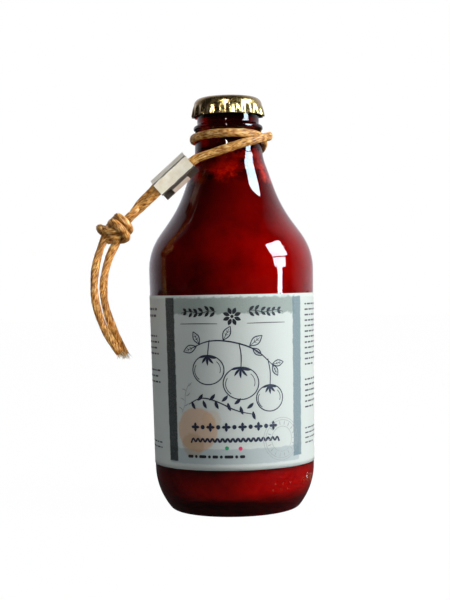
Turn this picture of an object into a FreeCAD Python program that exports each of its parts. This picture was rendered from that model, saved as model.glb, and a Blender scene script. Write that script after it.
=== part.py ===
"""Stubby amber glass bottle of tomato sauce, with a crown cap, a wrapped paper label
and a twine tag that hangs from its neck. Millimetres, +Z up, the origin is at the
middle of the foot. The front of the label faces -Y.

Sizes that can be set by themselves are named here, and the rest is worked out."""
import FreeCAD
import Part
import math
import os

Vec = FreeCAD.Vector

# ---- bottle, outside ----------------------------------------------------------------
heel_z = 17.5            # height where the heel ends and the body starts
body_len = 78.3          # straight body, from the heel to the shoulder
body_low_r = 31.9        # body radius just above the heel
body_top_r = 33.1        # body radius just below the shoulder
heel_r = 26.0            # long curve of the heel
foot_r = 3.5             # round from the heel to the resting ring
rest_ring_w = 1.4        # width of the flat ring that the bottle stands on
push_up = 3.6            # hollow under the foot, at the middle
shoulder_r = 24.0        # convex curve at the top of the body
slope_len = 6.2          # straight stretch between the two curves of the shoulder
sweep_r = 53.0           # concave curve that leads to the neck
sweep_end_r = 18.0       # radius where that curve ends and the neck's cone starts
cone_angle = 19.0        # slope of the neck's cone, from the vertical
neck_r = 13.75           # radius where the cone meets the neck
neck_round = 18.0        # round between the cone and the neck
neck_len = 10.8          # neck, from the cone to the collar
neck_draft = 2.0         # slope of the neck, from the vertical
# ---- bottle, finish -----------------------------------------------------------------
collar_h = 2.3           # rounded ring below the cap
collar_out = 0.65        # how far it stands out of the neck
throat_r = 12.5          # waist above the collar
throat_len = 4.3         # from the collar up to the bead
bead_r = 13.3            # locking bead that the cap is crimped on
bead_rise = 1.6          # slanted underside of the bead
bead_h = 2.2             # straight side of the bead
lip_r = 2.6              # round on the outer lip
lip_in_r = 0.8           # round on the inner lip
# ---- bottle, inside -----------------------------------------------------------------
wall = 2.5               # glass, square to its outside
base_t = 4.2             # glass above the push-up
floor_r = 12.0           # round between the inner floor and wall
bore_r = 8.6             # straight bore of the neck and mouth
# ---- sauce --------------------------------------------------------------------------
headspace = 30.6         # from the sauce to the lip
fill_gap = 0.05          # clearance between the sauce and the glass
# ---- crown cap ----------------------------------------------------------------------
sheet = 0.3              # thickness of the metal
flutes = 21              # the usual count of a crown
skirt_h = 4.3            # fluted skirt, below the round of the corner
skirt_gap = 0.15         # clearance between the metal and the side of the lip and bead
tooth_out = 1.0          # depth of the flutes at the skirt's edge
edge_flare = 0.15        # how far the valleys open out at the skirt's edge
# Rings of the skirt, from its top down: share of its height, share of the flutes' depth.
skirt_rings = [(0.0, 0.0), (0.33, 0.36), (0.66, 0.74), (1.0, 1.0)]
# ---- label --------------------------------------------------------------------------
label_low = 1.5          # from the top of the heel up to the label
label_h = 66.9           # from its lower to its upper edge
label_t = 0.2            # paper and glue
label_open = 12.0        # bare glass between the label's ends, at the back
# ---- twine --------------------------------------------------------------------------
twine_d = 3.0            # twine that hangs loose
tight_d = 2.4            # the same twine pulled tight round the neck
twine_gap = 0.1          # clearance between the twine and what it touches
# The tag, the knot and the loose twine hang at one side of the neck. Their places are
# measured from the glass there, and from the height of the collar's underside.
hang_turn = -49.0        # angle round the neck, from the front, at which they hang
hang_drop = 12.5         # from the collar down to where the tag's upper mouth nears the glass
# ---- folded metal tag on the twine --------------------------------------------------
tag_mid = Vec(-10.8, -3.6, -18.6)
tag_rise = 41.0          # how steeply the tag leans, in the view from the front
tag_yaw = -6.0           # its lower end turns towards the bottle
tag_len = 17.0           # length of the sleeve
tag_front_w = 5.4        # narrow front face
tag_back_w = 10.2        # wide back face
tag_wall = 0.5           # thickness of the strip
tab_from = 0.25          # the seam side is only a tab, between these shares of the length
tab_to = 0.72
notch_front = 0.2        # the open ends start so far in from the edge of the front face
notch_back = 1.2         # and stop so far in from the edge of the back face
strand_side = 0.2        # how far the tight strands lie across from the tag's middle
pair_side = -0.8         # and the two loose strands that leave its lower mouth
loop_out_run = 1.2       # straight run of the loop above the tag, on its way out
loop_in_run = 1.6        # and on its way back
# ---- knot ---------------------------------------------------------------------------
knot_mid = Vec(-33.9, -2.2, -39.4)
# Lobes of the knot: first end, second end, radius, measured from the knot's middle.
knot_lobes = [
    (Vec(3.4, 0.6, 4.0), Vec(5.2, -0.8, 0.6), 3.0),
    (Vec(-0.6, -1.6, 1.6), Vec(2.2, -1.4, -1.4), 3.1),
    (Vec(-5.3, 0.2, 2.4), Vec(-4.8, 0.6, 0.0), 2.7),
    (Vec(-4.0, -0.6, -2.4), Vec(-0.6, 0.4, -2.9), 2.9),
    (Vec(0.4, 1.6, 1.8), Vec(3.0, 1.4, -2.6), 3.0),
]
# ---- routes of the twine ------------------------------------------------------------
# Neck loop: angle round the neck from the front, stand-off from the glass, height above the
# collar's underside. It starts and ends at the tag's upper mouth.
loop_route = [
    (-33.0, 2.3, -11.1),
    (-9.0, 0.5, -8.9),
    (15.0, 0.3, -6.8),
    (39.0, 1.5, -4.9),
    (63.0, 2.6, -3.3),
    (88.0, 2.4, -2.2),
    (113.0, 1.0, -1.9),
    (138.0, 0.2, -2.0),
    (163.0, 0.0, -2.2),
    (188.0, 0.0, -2.5),
    (213.0, 0.0, -2.8),
    (238.0, 0.0, -3.1),
    (263.0, 0.0, -3.2),
    (288.0, 0.0, -3.0),
    (313.0, 0.0, -2.6),
    (338.0, 0.0, -2.2),
    (363.0, 0.0, -2.1),
    (388.0, 0.0, -2.2),
    (413.0, 0.0, -2.6),
    (438.0, 0.0, -4.1),
    (463.0, 0.0, -6.1),
    (488.0, 0.0, -7.9),
    (513.0, 0.0, -9.3),
    (538.0, 0.0, -10.4),
    (563.0, 0.0, -11.3),
    (588.0, 0.0, -12.1),
    (613.0, 0.0, -12.8),
    (638.0, 0.0, -12.9),
    (655.0, 0.0, -12.5),
    (670.0, 0.1, -11.8),
]
# Leads, after the tag's lower mouth, into the knot.
lead_front_route = [
    Vec(-22.4, -3.6, -29.8),
    Vec(-27.8, -3.4, -36.1),
]
lead_back_route = [
    Vec(-24.2, -1.4, -28.4),
    Vec(-29.6, -1.4, -34.8),
]
# Tails, from the knot to their ends.
tail_left_route = [
    Vec(-38.4, -3.0, -42.5),
    Vec(-41.6, -3.5, -49.5),
    Vec(-43.2, -3.9, -57.9),
    Vec(-43.1, -4.2, -66.5),
    Vec(-41.0, -4.5, -74.9),
    Vec(-37.4, -4.7, -82.3),
    Vec(-33.5, -4.8, -88.1),
]
tail_right_route = [
    Vec(-35.0, -2.2, -42.5),
    Vec(-37.0, -2.0, -49.3),
    Vec(-39.4, -1.8, -57.1),
    Vec(-39.9, -1.6, -64.9),
    Vec(-38.5, -1.5, -72.5),
    Vec(-35.6, -1.5, -80.1),
    Vec(-31.7, -1.5, -88.7),
]
# ---- finish of the curves -----------------------------------------------------------
tube_ease = 0.45         # share of the shorter run that a bend of the twine takes up
wave_points = 8          # points round each flute
edge_spare = 0.2         # share of the skirt's height that its hollow runs past its edge
cut_spare = 1.0          # how far the tag's hollows run past its ends
route_step = 25.0        # usual angle between two corners of the neck loop

Z_AXIS = Vec(0, 0, 1)


# ---- geometry helpers ---------------------------------------------------------------
def rz(radius, height):
    """A point of a profile: radius from the bottle's axis, and height."""
    return Vec(radius, 0, height)


def polar(centre, radius, angle):
    """The point of a profile at this angle round a centre, 0 pointing outwards."""
    turn = math.radians(angle)
    return centre + rz(radius * math.cos(turn), radius * math.sin(turn))


def line(start, end):
    return Part.LineSegment(start, end).toShape()


def arc(centre, radius, start, end):
    """An arc of a profile between two angles."""
    middle = polar(centre, radius, (start + end) / 2)
    return Part.Arc(polar(centre, radius, start), middle, polar(centre, radius, end)).toShape()


def ends(edge):
    return edge.valueAt(edge.FirstParameter), edge.valueAt(edge.LastParameter)


def revolve(edges, angle=360.0):
    """The solid that a closed profile sweeps about the bottle's axis."""
    face = Part.Face(Part.Wire(Part.__sortEdges__(edges)))
    return face.revolve(Vec(0, 0, 0), Z_AXIS, angle)


# ---- bottle's levels ----------------------------------------------------------------
shoulder_z = heel_z + body_len
slope_angle = math.degrees(
    math.acos((shoulder_r + sweep_r * math.cos(math.radians(cone_angle)) - body_top_r + sweep_end_r)
              / math.hypot(shoulder_r + sweep_r, slope_len))
    - math.atan2(slope_len, shoulder_r + sweep_r))
tan_cone = math.tan(math.radians(cone_angle))
tan_draft = math.tan(math.radians(neck_draft))

shoulder_mid = rz(body_top_r - shoulder_r, shoulder_z)
slope_low = polar(shoulder_mid, shoulder_r, slope_angle)
slope_top = polar(slope_low, slope_len, slope_angle + 90)
sweep_mid = polar(slope_top, sweep_r, slope_angle)
cone_low = polar(sweep_mid, sweep_r, cone_angle + 180)
cone_top = rz(neck_r, cone_low.z + (cone_low.x - neck_r) / tan_cone)
round_low = polar(cone_top, neck_round * math.tan(math.radians((cone_angle - neck_draft) / 2)),
                  cone_angle - 90)
round_mid = polar(round_low, neck_round, cone_angle)
round_top = polar(round_mid, neck_round, neck_draft + 180)
collar_low = rz(neck_r - neck_len * tan_draft, cone_top.z + neck_len)
throat_low = rz(throat_r, collar_low.z + collar_h)
bead_low = rz(throat_r, throat_low.z + throat_len)
bead_side = rz(bead_r, bead_low.z + bead_rise)
lip_low = rz(bead_r, bead_side.z + bead_h)
lip_z = lip_low.z + lip_r
fill_z = lip_z - headspace


# ---- how the strands lie in the tag --------------------------------------------------
tag_depth = 2 * tight_d + 3 * twine_gap + 2 * tag_wall
strand_out = (tight_d + twine_gap) / 2
lead_off = (twine_d + twine_gap) / 2 / math.sqrt(2)


def glass_radius(height):
    """Outer radius of the glass between the sweep's end and the collar."""
    if height < round_low.z:
        return cone_low.x - (height - cone_low.z) * tan_cone
    if height > round_top.z:
        return cone_top.x - (height - cone_top.z) * tan_draft
    return round_mid.x - math.sqrt(neck_round ** 2 - (height - round_mid.z) ** 2)


def body_radius(height):
    """Outer radius of the glass between the heel and the shoulder."""
    return body_low_r + (body_top_r - body_low_r) * (height - heel_z) / body_len


# ---- bottle -------------------------------------------------------------------------
def outside_edges():
    """The bottle's outside, from the middle of the push-up to the lip."""
    heel_mid = rz(body_low_r - heel_r, heel_z)
    reach = heel_r - foot_r
    drop = heel_mid.z - foot_r
    foot_mid = rz(heel_mid.x + math.sqrt(reach ** 2 - drop ** 2), foot_r)
    heel_angle = -math.degrees(math.asin(drop / reach))
    rest_in = foot_mid.x - rest_ring_w
    dome_r = (rest_in ** 2 + push_up ** 2) / (2 * push_up)
    dome_mid = rz(0, push_up - dome_r)
    rest_angle = math.degrees(math.atan2(-dome_mid.z, rest_in))
    collar_side = rz(collar_low.x + collar_out, collar_low.z + collar_h / 2)
    lip_mid = rz(bead_r - lip_r, lip_low.z)
    return [
        arc(dome_mid, dome_r, 90, rest_angle),
        line(rz(rest_in, 0), rz(foot_mid.x, 0)),
        arc(foot_mid, foot_r, -90, heel_angle),
        arc(heel_mid, heel_r, heel_angle, 0),
        line(rz(body_low_r, heel_z), rz(body_top_r, shoulder_z)),
        arc(shoulder_mid, shoulder_r, 0, slope_angle),
        line(slope_low, slope_top),
        arc(sweep_mid, sweep_r, slope_angle + 180, cone_angle + 180),
        line(cone_low, round_low),
        arc(round_mid, neck_round, cone_angle + 180, neck_draft + 180),
        line(round_top, collar_low),
        Part.Arc(collar_low, collar_side, throat_low).toShape(),
        line(throat_low, bead_low),
        line(bead_low, bead_side),
        line(bead_side, lip_low),
        arc(lip_mid, lip_r, 0, 90),
    ]


def inside_edges(gap):
    """The hollow from the middle of its floor to the bore, held off the glass by a gap."""
    depth = wall + gap
    low_r = body_low_r - depth
    floor_z = push_up + base_t + gap
    corner = floor_r - gap
    corner_mid = rz(low_r - corner, floor_z + corner)
    side_top = rz(body_top_r - depth, shoulder_z)
    bore = bore_r - gap
    cone_in = polar(cone_low, -depth, cone_angle)
    bore_low = rz(bore, cone_in.z + (cone_in.x - bore) / tan_cone)
    return [
        line(rz(0, floor_z), rz(corner_mid.x, floor_z)),
        arc(corner_mid, corner, -90, 0),
        line(rz(low_r, corner_mid.z), side_top),
        arc(shoulder_mid, shoulder_r - depth, 0, slope_angle),
        line(polar(slope_low, -depth, slope_angle), polar(slope_top, -depth, slope_angle)),
        arc(sweep_mid, sweep_r + depth, slope_angle + 180, cone_angle + 180),
        line(cone_in, bore_low),
    ]


def make_bottle():
    """One wall of glass, open at the mouth."""
    outside = outside_edges()
    inside = inside_edges(0)
    lip_in_mid = rz(bore_r + lip_in_r, lip_z - lip_in_r)
    mouth = [
        line(rz(bead_r - lip_r, lip_z), rz(lip_in_mid.x, lip_z)),
        arc(lip_in_mid, lip_in_r, 90, 180),
        line(rz(bore_r, lip_in_mid.z), ends(inside[-1])[1]),
        line(ends(inside[0])[0], rz(0, push_up)),
    ]
    return revolve(outside + mouth + inside)


def make_sauce():
    """The sauce fills the bottle's hollow up to its level."""
    edges = inside_edges(fill_gap)
    top = ends(edges[-1])[1]
    axis = [line(top, rz(0, top.z)), line(rz(0, top.z), ends(edges[0])[0])]
    full = revolve(edges + axis)
    keep = Part.makeCylinder(body_top_r, fill_z)
    return full.common(keep).Solids[0]


# ---- crown cap ----------------------------------------------------------------------
def wave_wire(radius, height, depth):
    """A closed ring whose radius swings out by the flutes' depth."""
    count = flutes * wave_points
    points = []
    for step in range(count):
        turn = 2 * math.pi * step / count
        swing = radius + depth * (0.5 + 0.5 * math.cos(flutes * turn))
        points.append(Vec(swing * math.cos(turn), swing * math.sin(turn), height))
    curve = Part.BSplineCurve()
    curve.interpolate(Points=points, PeriodicFlag=True)
    return Part.Wire([curve.toShape()])


def crown_form(metal, below):
    """The crown, filled: its inner face with no metal, its outer face with the sheet's.

    It runs a share of the skirt's height below its edge, where it hollows the crown."""
    flat_r = bead_r - lip_r
    corner = lip_r + skirt_gap + metal
    corner_mid = rz(flat_r, lip_z + metal - corner)
    side_r = flat_r + corner
    rings = list(skirt_rings)
    if below:
        rings.append((1.0 + below, 1.0 + below))
    wires = [wave_wire(side_r + edge_flare * share, skirt_top_z() - skirt_h * share, tooth_out * swing)
             for share, swing in rings]
    skirt = Part.makeLoft(wires, True, False)
    cap = revolve([
        line(rz(0, skirt_top_z()), rz(0, lip_z + metal)),
        line(rz(0, lip_z + metal), rz(flat_r, lip_z + metal)),
        arc(corner_mid, corner, 90, 0),
        line(rz(side_r, skirt_top_z()), rz(0, skirt_top_z())),
    ])
    return skirt.fuse(cap)


def skirt_top_z():
    """Height where the round of the crown's corner ends and its flutes begin."""
    return lip_z - lip_r - skirt_gap


def make_crown():
    """Thin metal: a flat top, a round corner and a skirt of flutes."""
    return crown_form(sheet, 0).cut(crown_form(0, edge_spare)).removeSplitter().Solids[0]


# ---- label --------------------------------------------------------------------------
def make_label():
    """Paper wrapped round the body, face to face with the glass, open at the back."""
    low_z = heel_z + label_low
    top_z = low_z + label_h
    low_r = body_radius(low_z)
    top_r = body_radius(top_z)
    corners = [rz(low_r, low_z), rz(low_r + label_t, low_z), rz(top_r + label_t, top_z), rz(top_r, top_z)]
    edges = [line(a, b) for a, b in zip(corners, corners[1:] + corners[:1])]
    open_angle = math.degrees(label_open / body_radius((low_z + top_z) / 2))
    label = revolve(edges, 360 - open_angle)
    label.rotate(Vec(0, 0, 0), Z_AXIS, 90 + open_angle / 2)
    return label


# ---- twine --------------------------------------------------------------------------
def tube(points, diameter, name):
    """A round tube along straight runs joined by arcs that are as large as the runs allow."""
    edges = []
    last = points[0]
    radii = []
    for before, corner, after in zip(points, points[1:], points[2:]):
        back = (before - corner).normalize()
        ahead = (after - corner).normalize()
        half = (math.pi - back.getAngle(ahead)) / 2
        trim = tube_ease * min((before - corner).Length, (after - corner).Length)
        radius = trim / math.tan(half)
        start = corner + back * trim
        end = corner + ahead * trim
        inward = (back + ahead).normalize()
        middle = corner + inward * (radius / math.cos(half) - radius)
        edges += [line(last, start), Part.Arc(start, middle, end).toShape()]
        last = end
        radii.append(radius)
    edges.append(line(last, points[-1]))
    path = Part.Wire(edges)
    start_way = (points[1] - points[0]).normalize()
    ring = Part.Wire([Part.makeCircle(diameter / 2, points[0], start_way)])
    solid = path.makePipeShell([ring], True, False)
    exact = math.pi * diameter ** 2 / 4 * path.Length
    print(f"{name}: {path.Length:.1f} mm long, tightest bend {min(radii):.1f} mm, "
          f"volume {solid.Volume:.0f} of {exact:.0f}")
    return solid


def hung(point):
    """The place of a point that is measured from the glass where the tag hangs."""
    side = glass_radius(collar_low.z - hang_drop)
    turn = math.radians(hang_turn)
    return point + Vec(side * math.sin(turn), -side * math.cos(turn), collar_low.z)


def tag_frame():
    """The tag's own directions: up its length, across its front, and out of its front."""
    rise = math.radians(tag_rise)
    yaw = math.radians(tag_yaw)
    along = Vec(math.cos(rise) * math.cos(yaw), math.cos(rise) * math.sin(yaw), math.sin(rise))
    across = along.cross(Vec(0, -1, 0)).normalize()
    out = across.cross(along).normalize()
    if out.y > 0:
        across = across * -1
        out = out * -1
    return along, across, out


def tag_point(along_mm, across_mm, out_mm):
    """A point given along the tag, across its front and out of its front."""
    along, across, out = tag_frame()
    return hung(tag_mid) + along * along_mm + across * across_mm + out * out_mm


def neck_point(angle, stand_off, height):
    """A corner of the loop's route, so far out that its runs clear the glass."""
    level = collar_low.z + height
    clear = (tight_d / 2 + twine_gap) / math.cos(math.radians(cone_angle))
    radius = (glass_radius(level) + clear + stand_off) / math.cos(math.radians(route_step / 2))
    turn = math.radians(angle)
    return Vec(radius * math.sin(turn), -radius * math.cos(turn), level)


def make_lead(route, sign, name):
    """One of the two strands that leave the tag's lower mouth askew, side by side."""
    start = tag_point(-tag_len / 2, sign * lead_off + pair_side, sign * lead_off)
    return tube([start] + [hung(point) for point in route], twine_d, name)


def make_tail(route, name):
    """One of the two strands that hang below the knot."""
    return tube([hung(point) for point in route], twine_d, name)


def make_neck_loop():
    """The twine's tight part: through the tag, nearly twice round the neck, and back."""
    half = tag_len / 2
    route = [tag_point(-half, strand_side, strand_out),
             tag_point(half + loop_out_run, strand_side, strand_out)]
    route += [neck_point(*row) for row in loop_route]
    route += [tag_point(half + loop_in_run, strand_side, -strand_out),
              tag_point(-half, strand_side, -strand_out)]
    return tube(route, tight_d, "neck_loop")


def make_tag():
    """A strip of metal folded to a sleeve, with a tab for its seam side."""
    half = tag_len / 2

    def sleeve(inset, length):
        """Trapezium section, front to back, set in by a wall."""
        deep = tag_depth / 2 - inset
        lean = (tag_back_w - tag_front_w) / 2 / tag_depth
        side = inset * math.hypot(1, lean)
        front = tag_front_w / 2 + lean * inset - side
        back = tag_back_w / 2 - lean * inset - side
        corners = [(-front, deep), (front, deep), (back, -deep), (-back, -deep)]
        points = [tag_point(-length, across, out) for across, out in corners]
        face = Part.Face(Part.makePolygon(points + points[:1]))
        return face.extrude(tag_frame()[0] * (2 * length))

    past = half + cut_spare
    solid = sleeve(0, half).cut(sleeve(tag_wall, past))
    inner = tag_depth / 2 - tag_wall
    # the seam side is open at both ends of its tab
    for low, high in ((-past, -half + tab_from * tag_len), (-half + tab_to * tag_len, past)):
        corners = [(tag_front_w / 2 - notch_front, inner), (tag_back_w, inner), (tag_back_w, -inner),
                   (tag_back_w / 2 - notch_back, -inner)]
        points = [tag_point(low, across, out) for across, out in corners]
        notch = Part.Face(Part.makePolygon(points + points[:1])).extrude(tag_frame()[0] * (high - low))
        solid = solid.cut(notch)
    return solid.Solids[0]


def make_knot():
    """The outer shape of two strands tied in one overhand knot."""
    knot = None
    middle = hung(knot_mid)
    for start, end, radius in knot_lobes:
        way = end - start
        lobe = Part.makeCylinder(radius, way.Length, middle + start, way)
        lobe = lobe.fuse(Part.makeSphere(radius, middle + start))
        lobe = lobe.fuse(Part.makeSphere(radius, middle + end))
        knot = lobe if knot is None else knot.fuse(lobe)
    return knot.removeSplitter().Solids[0]


def cope(strand, knot):
    """The part of a strand that shows outside the knot, its end cut to the knot's face."""
    return max(strand.cut(knot).Solids, key=lambda piece: piece.Volume)


# ---- build --------------------------------------------------------------------------
def main():
    knot = make_knot()
    parts = {
        "bottle": make_bottle(),
        "sauce": make_sauce(),
        "crown_cap": make_crown(),
        "label": make_label(),
        "neck_loop": make_neck_loop(),
        "tag_clip": make_tag(),
        "knot": knot,
        "lead_front": cope(make_lead(lead_front_route, 1, "lead_front"), knot),
        "lead_back": cope(make_lead(lead_back_route, -1, "lead_back"), knot),
        "tail_left": cope(make_tail(tail_left_route, "tail_left"), knot),
        "tail_right": cope(make_tail(tail_right_route, "tail_right"), knot),
    }
    os.makedirs("parts", exist_ok=True)
    for node, shape in parts.items():
        shape.exportStep(f"parts/{node}.step")
        box = shape.BoundBox
        print(f"{node}: {len(shape.Solids)} solid, valid {shape.isValid()}, {shape.Volume:.0f} mm3, "
              f"x {box.XMin:.1f} {box.XMax:.1f}, y {box.YMin:.1f} {box.YMax:.1f}, "
              f"z {box.ZMin:.1f} {box.ZMax:.1f}")
    print(f"slope {slope_angle:.1f} deg, lip {lip_z:.1f}, fill {fill_z:.1f}, cone {cone_low.z:.1f} "
          f"to {cone_top.z:.1f}, collar {collar_low.z:.1f}")


main()
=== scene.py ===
# %% [markdown]
# # A stubby glass bottle of tomato sauce
# The real thing is one amber glass bottle with a crown cap, filled with red sauce. It wears a
# paper label and a waxed twine that is knotted through a folded metal tag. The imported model
# already gives each of these its place and size. This lesson gives each one its surface.
#
# Everything starts with the frame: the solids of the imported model, at rest, in metres.

# %% Load the frame
from math import acos, asin, atan2, ceil, cos, degrees, hypot, pi, radians, sin, sqrt, tan

import bmesh
import bpy
import numpy as np
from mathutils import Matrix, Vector


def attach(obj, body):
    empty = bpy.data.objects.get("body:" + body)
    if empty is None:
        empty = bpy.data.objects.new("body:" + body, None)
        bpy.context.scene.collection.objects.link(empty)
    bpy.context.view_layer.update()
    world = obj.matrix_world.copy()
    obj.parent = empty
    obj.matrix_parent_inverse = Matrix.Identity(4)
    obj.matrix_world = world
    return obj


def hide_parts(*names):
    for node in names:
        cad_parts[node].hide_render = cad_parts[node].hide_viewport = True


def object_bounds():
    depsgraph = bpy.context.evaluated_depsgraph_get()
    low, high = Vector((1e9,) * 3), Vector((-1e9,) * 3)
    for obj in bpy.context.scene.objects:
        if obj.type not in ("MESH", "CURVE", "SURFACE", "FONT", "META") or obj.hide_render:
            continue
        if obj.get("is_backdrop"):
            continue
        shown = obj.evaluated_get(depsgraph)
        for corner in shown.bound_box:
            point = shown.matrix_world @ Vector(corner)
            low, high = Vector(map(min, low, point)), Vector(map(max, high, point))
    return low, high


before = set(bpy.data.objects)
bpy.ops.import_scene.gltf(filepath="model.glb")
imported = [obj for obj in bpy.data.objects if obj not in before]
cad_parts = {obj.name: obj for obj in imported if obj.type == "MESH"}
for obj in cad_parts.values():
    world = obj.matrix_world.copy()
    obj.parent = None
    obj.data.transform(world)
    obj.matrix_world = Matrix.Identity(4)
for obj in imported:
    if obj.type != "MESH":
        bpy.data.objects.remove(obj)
cad_box = [list(corner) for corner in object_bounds()]
mm = 0.001
print("nodes:", ", ".join(sorted(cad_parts)))

# %% [markdown]
# ## Camera
# A portrait of a bottle is taken from a step away with a long lens, level with the middle of the
# bottle, so that its sides stay straight. The camera was held a little askew: a small roll makes
# the bottle lean to the left. The lens is shifted by a few hundredths to frame it.

# %% Camera
def having(thing, **values):
    """Sets several properties of a thing at once."""
    for key, value in values.items():
        setattr(thing, key, value)
    return thing


def placed(name, data, **values):
    """A new object of the scene, made of this data."""
    obj = having(bpy.data.objects.new(name, data), **values)
    bpy.context.collection.objects.link(obj)
    return obj


lens = having(bpy.data.cameras.new("camera"), sensor_fit="VERTICAL", sensor_height=36, lens=77.2,
              shift_x=-0.0105, shift_y=-0.025, clip_start=0.01)
camera = placed("camera", lens, location=(0, -0.520, 0.0895),
                rotation_euler=(radians(90), radians(1.15), 0))
bpy.context.scene.camera = camera
bpy.context.scene.view_settings.view_transform = "Standard"
print("camera stands", -camera.location.y, "m in front")

# %% [markdown]
# ## Lamps
# Dark glass shows its shape by what it mirrors and by the light that comes through it. Broad
# soft daylight stands at the front right and lights the matt things. One big window would be
# mirrored as one hard edge, so the daylight is hidden from mirrors, and three blue panes that
# light nothing are mirrored in its place. A weak fill stands at the left. Small lamps near the
# bottle have a narrow beam, as behind a honeycomb, so that they reach nothing but the cap, the
# hanging strands or the heel. No lamp is seen through the glass, where it would be a bright
# rectangle.

# %% Lamps
def facing(turn, radius, height):
    """A place given by its turn to the right of the front, its distance from the axis, its height."""
    return Vector((radius * sin(turn), -radius * cos(turn), height))


def lamp(name, turn, rise, wide, tall, watts, colour=(1, 1, 1), mirrored=False, far=1.0,
         at=(0, 0, 0.10), beam=180):
    """A soft rectangular lamp that looks at a place, and stands so many degrees right of the
    front and up from it. It either only lights matt things or is only mirrored."""
    rise = radians(rise)
    place = Vector(at) + facing(radians(turn), cos(rise), sin(rise)) * far
    data = having(bpy.data.lights.new(name, "AREA"), shape="RECTANGLE", size=wide, size_y=tall,
                  energy=watts, color=colour, spread=radians(beam))
    return placed(name, data, location=place, visible_transmission=False, visible_glossy=mirrored,
                  visible_diffuse=not mirrored,
                  rotation_euler=(Vector(at) - place).to_track_quat("-Z", "Y").to_euler())


sky = (0.68, 0.87, 1.0)
cap_middle = (0, 0, cad_box[1][2] - 3 * mm)
strands_middle = (-0.047, -0.012, 0.098)
heel_middle = (0, 0, 0.006)
lamp("daylight", 66, 20, 0.40, 0.62, 12.0, (1.0, 0.985, 0.97))
lamp("pane_high", 74, 29, 0.46, 0.40, 14.0, sky, mirrored=True)
lamp("pane_low", 71, 9, 0.34, 0.24, 6.0, sky, mirrored=True)
lamp("pane_strip", 70, -1, 0.14, 0.12, 1.4, sky, mirrored=True)
for k in range(5):
    lamp(f"gleam_{k}", -8, 10 + 5 * k, 0.022, 0.026, 0.0004, mirrored=True, far=0.3, at=cap_middle, beam=6)
lamp("fill", -35, 25, 0.60, 0.60, 0.08, (1.0, 0.94, 0.80))
twine_light = lamp("twine_light", 30, 12, 0.030, 0.10, 0.0050, (1.0, 0.97, 0.90), far=0.5,
                   at=strands_middle, beam=3)
twine_light.rotation_euler.rotate_axis("Z", radians(-12))
lamp("heel_light", 38, 1.5, 0.08, 0.012, 0.0018, far=0.4, at=heel_middle, beam=2)
print("lamps:", ", ".join(light.name for light in bpy.data.lights))

# %% [markdown]
# ## Writing node trees
# Colour, gloss and bumps come from node trees. They could be drawn by hand in the node editor,
# but a script that adds and links each node by itself gets long. So a small class lets a tree be
# written like a formula, from the inside out: what goes into a node stands in its brackets.

# %% Nodes as formulas
class Nodes:
    """A node tree. Its methods add a node and give the output that is wanted."""

    def __init__(self, tree):
        self.tree = tree

    def fill(self, made, *inputs, **values):
        """Fills a node: inputs in their order, then properties and inputs by name. A socket is
        linked, and anything else is a constant."""
        for key, value in values.items():
            if hasattr(made, key):
                setattr(made, key, value)
        named = [(key.replace("_", " "), value) for key, value in values.items()
                 if not hasattr(made, key)]
        for key, value in [*enumerate(inputs), *named]:
            socket = made.inputs[key]
            if isinstance(value, bpy.types.NodeSocket):
                self.tree.links.new(value, socket)
            elif value is not None:
                socket.default_value = (*value, 1) if socket.type == "RGBA" else value
        return made.outputs

    def add(self, kind, *inputs, **values):
        """Adds a node, fills it and gives its outputs."""
        return self.fill(self.tree.nodes.new(kind), *inputs, **values)

    def maths(self, kind, *values, **more):
        """One step of arithmetic."""
        return self.add("ShaderNodeMath", *values, operation=kind, **more)[0]

    def spread(self, value, low, high, to_low=0.0, to_high=1.0):
        """Maps a range of values onto another."""
        return self.add("ShaderNodeMapRange", value, low, high, to_low, to_high)["Result"]

    def noise(self, scale, detail=3.0, rough=0.5, where=None):
        """A noise texture, on the tree's own places unless others are given."""
        return self.add("ShaderNodeTexNoise", self.where if where is None else where, Scale=scale,
                        Detail=detail, Roughness=rough)["Fac"]

    def ramp(self, factor, *stops):
        """A colour for a factor, by stops of (position, colour)."""
        made = self.tree.nodes.new("ShaderNodeValToRGB")
        band = made.color_ramp
        while len(band.elements) < len(stops):
            band.elements.new(0.5)
        for element, (position, colour) in zip(band.elements, stops):
            having(element, position=position, color=(*colour, 1))
        return self.fill(made, factor)["Color"]

    def blend(self, factor, first, second, kind="MIX"):
        """A mix of two colours, which are the inputs 6 and 7 of this node."""
        return self.add("ShaderNodeMix", factor, *[None] * 5, first, second, data_type="RGBA",
                        blend_type=kind)[2]

    def either(self, factor, first, second):
        """A mix of two shaders."""
        return self.add("ShaderNodeMixShader", factor, first, second)[0]

    def bump(self, height, strength, distance):
        """A normal that makes the surface look raised by a height."""
        return self.add("ShaderNodeBump", Height=height, Strength=strength, Distance=distance)["Normal"]

    def seen(self, rays):
        """1 for a ray that comes from the camera, straight or through glass, and 0 for others."""
        first_look = self.maths("LESS_THAN", rays["Diffuse Depth"], 0.5)
        through = self.maths("MULTIPLY", rays["Is Transmission Ray"], first_look)
        return self.maths("MAXIMUM", rays["Is Camera Ray"], through)


# %% [markdown]
# ## White surroundings
# The bottle stands in a white room. The world is white where the camera looks at it, straight or
# through the glass. As a source of light it is weak, and for a mirror it is dim behind the
# camera and brighter behind the bottle, so that the front of the glass stays deep and dark and
# its edges don't.

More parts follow.
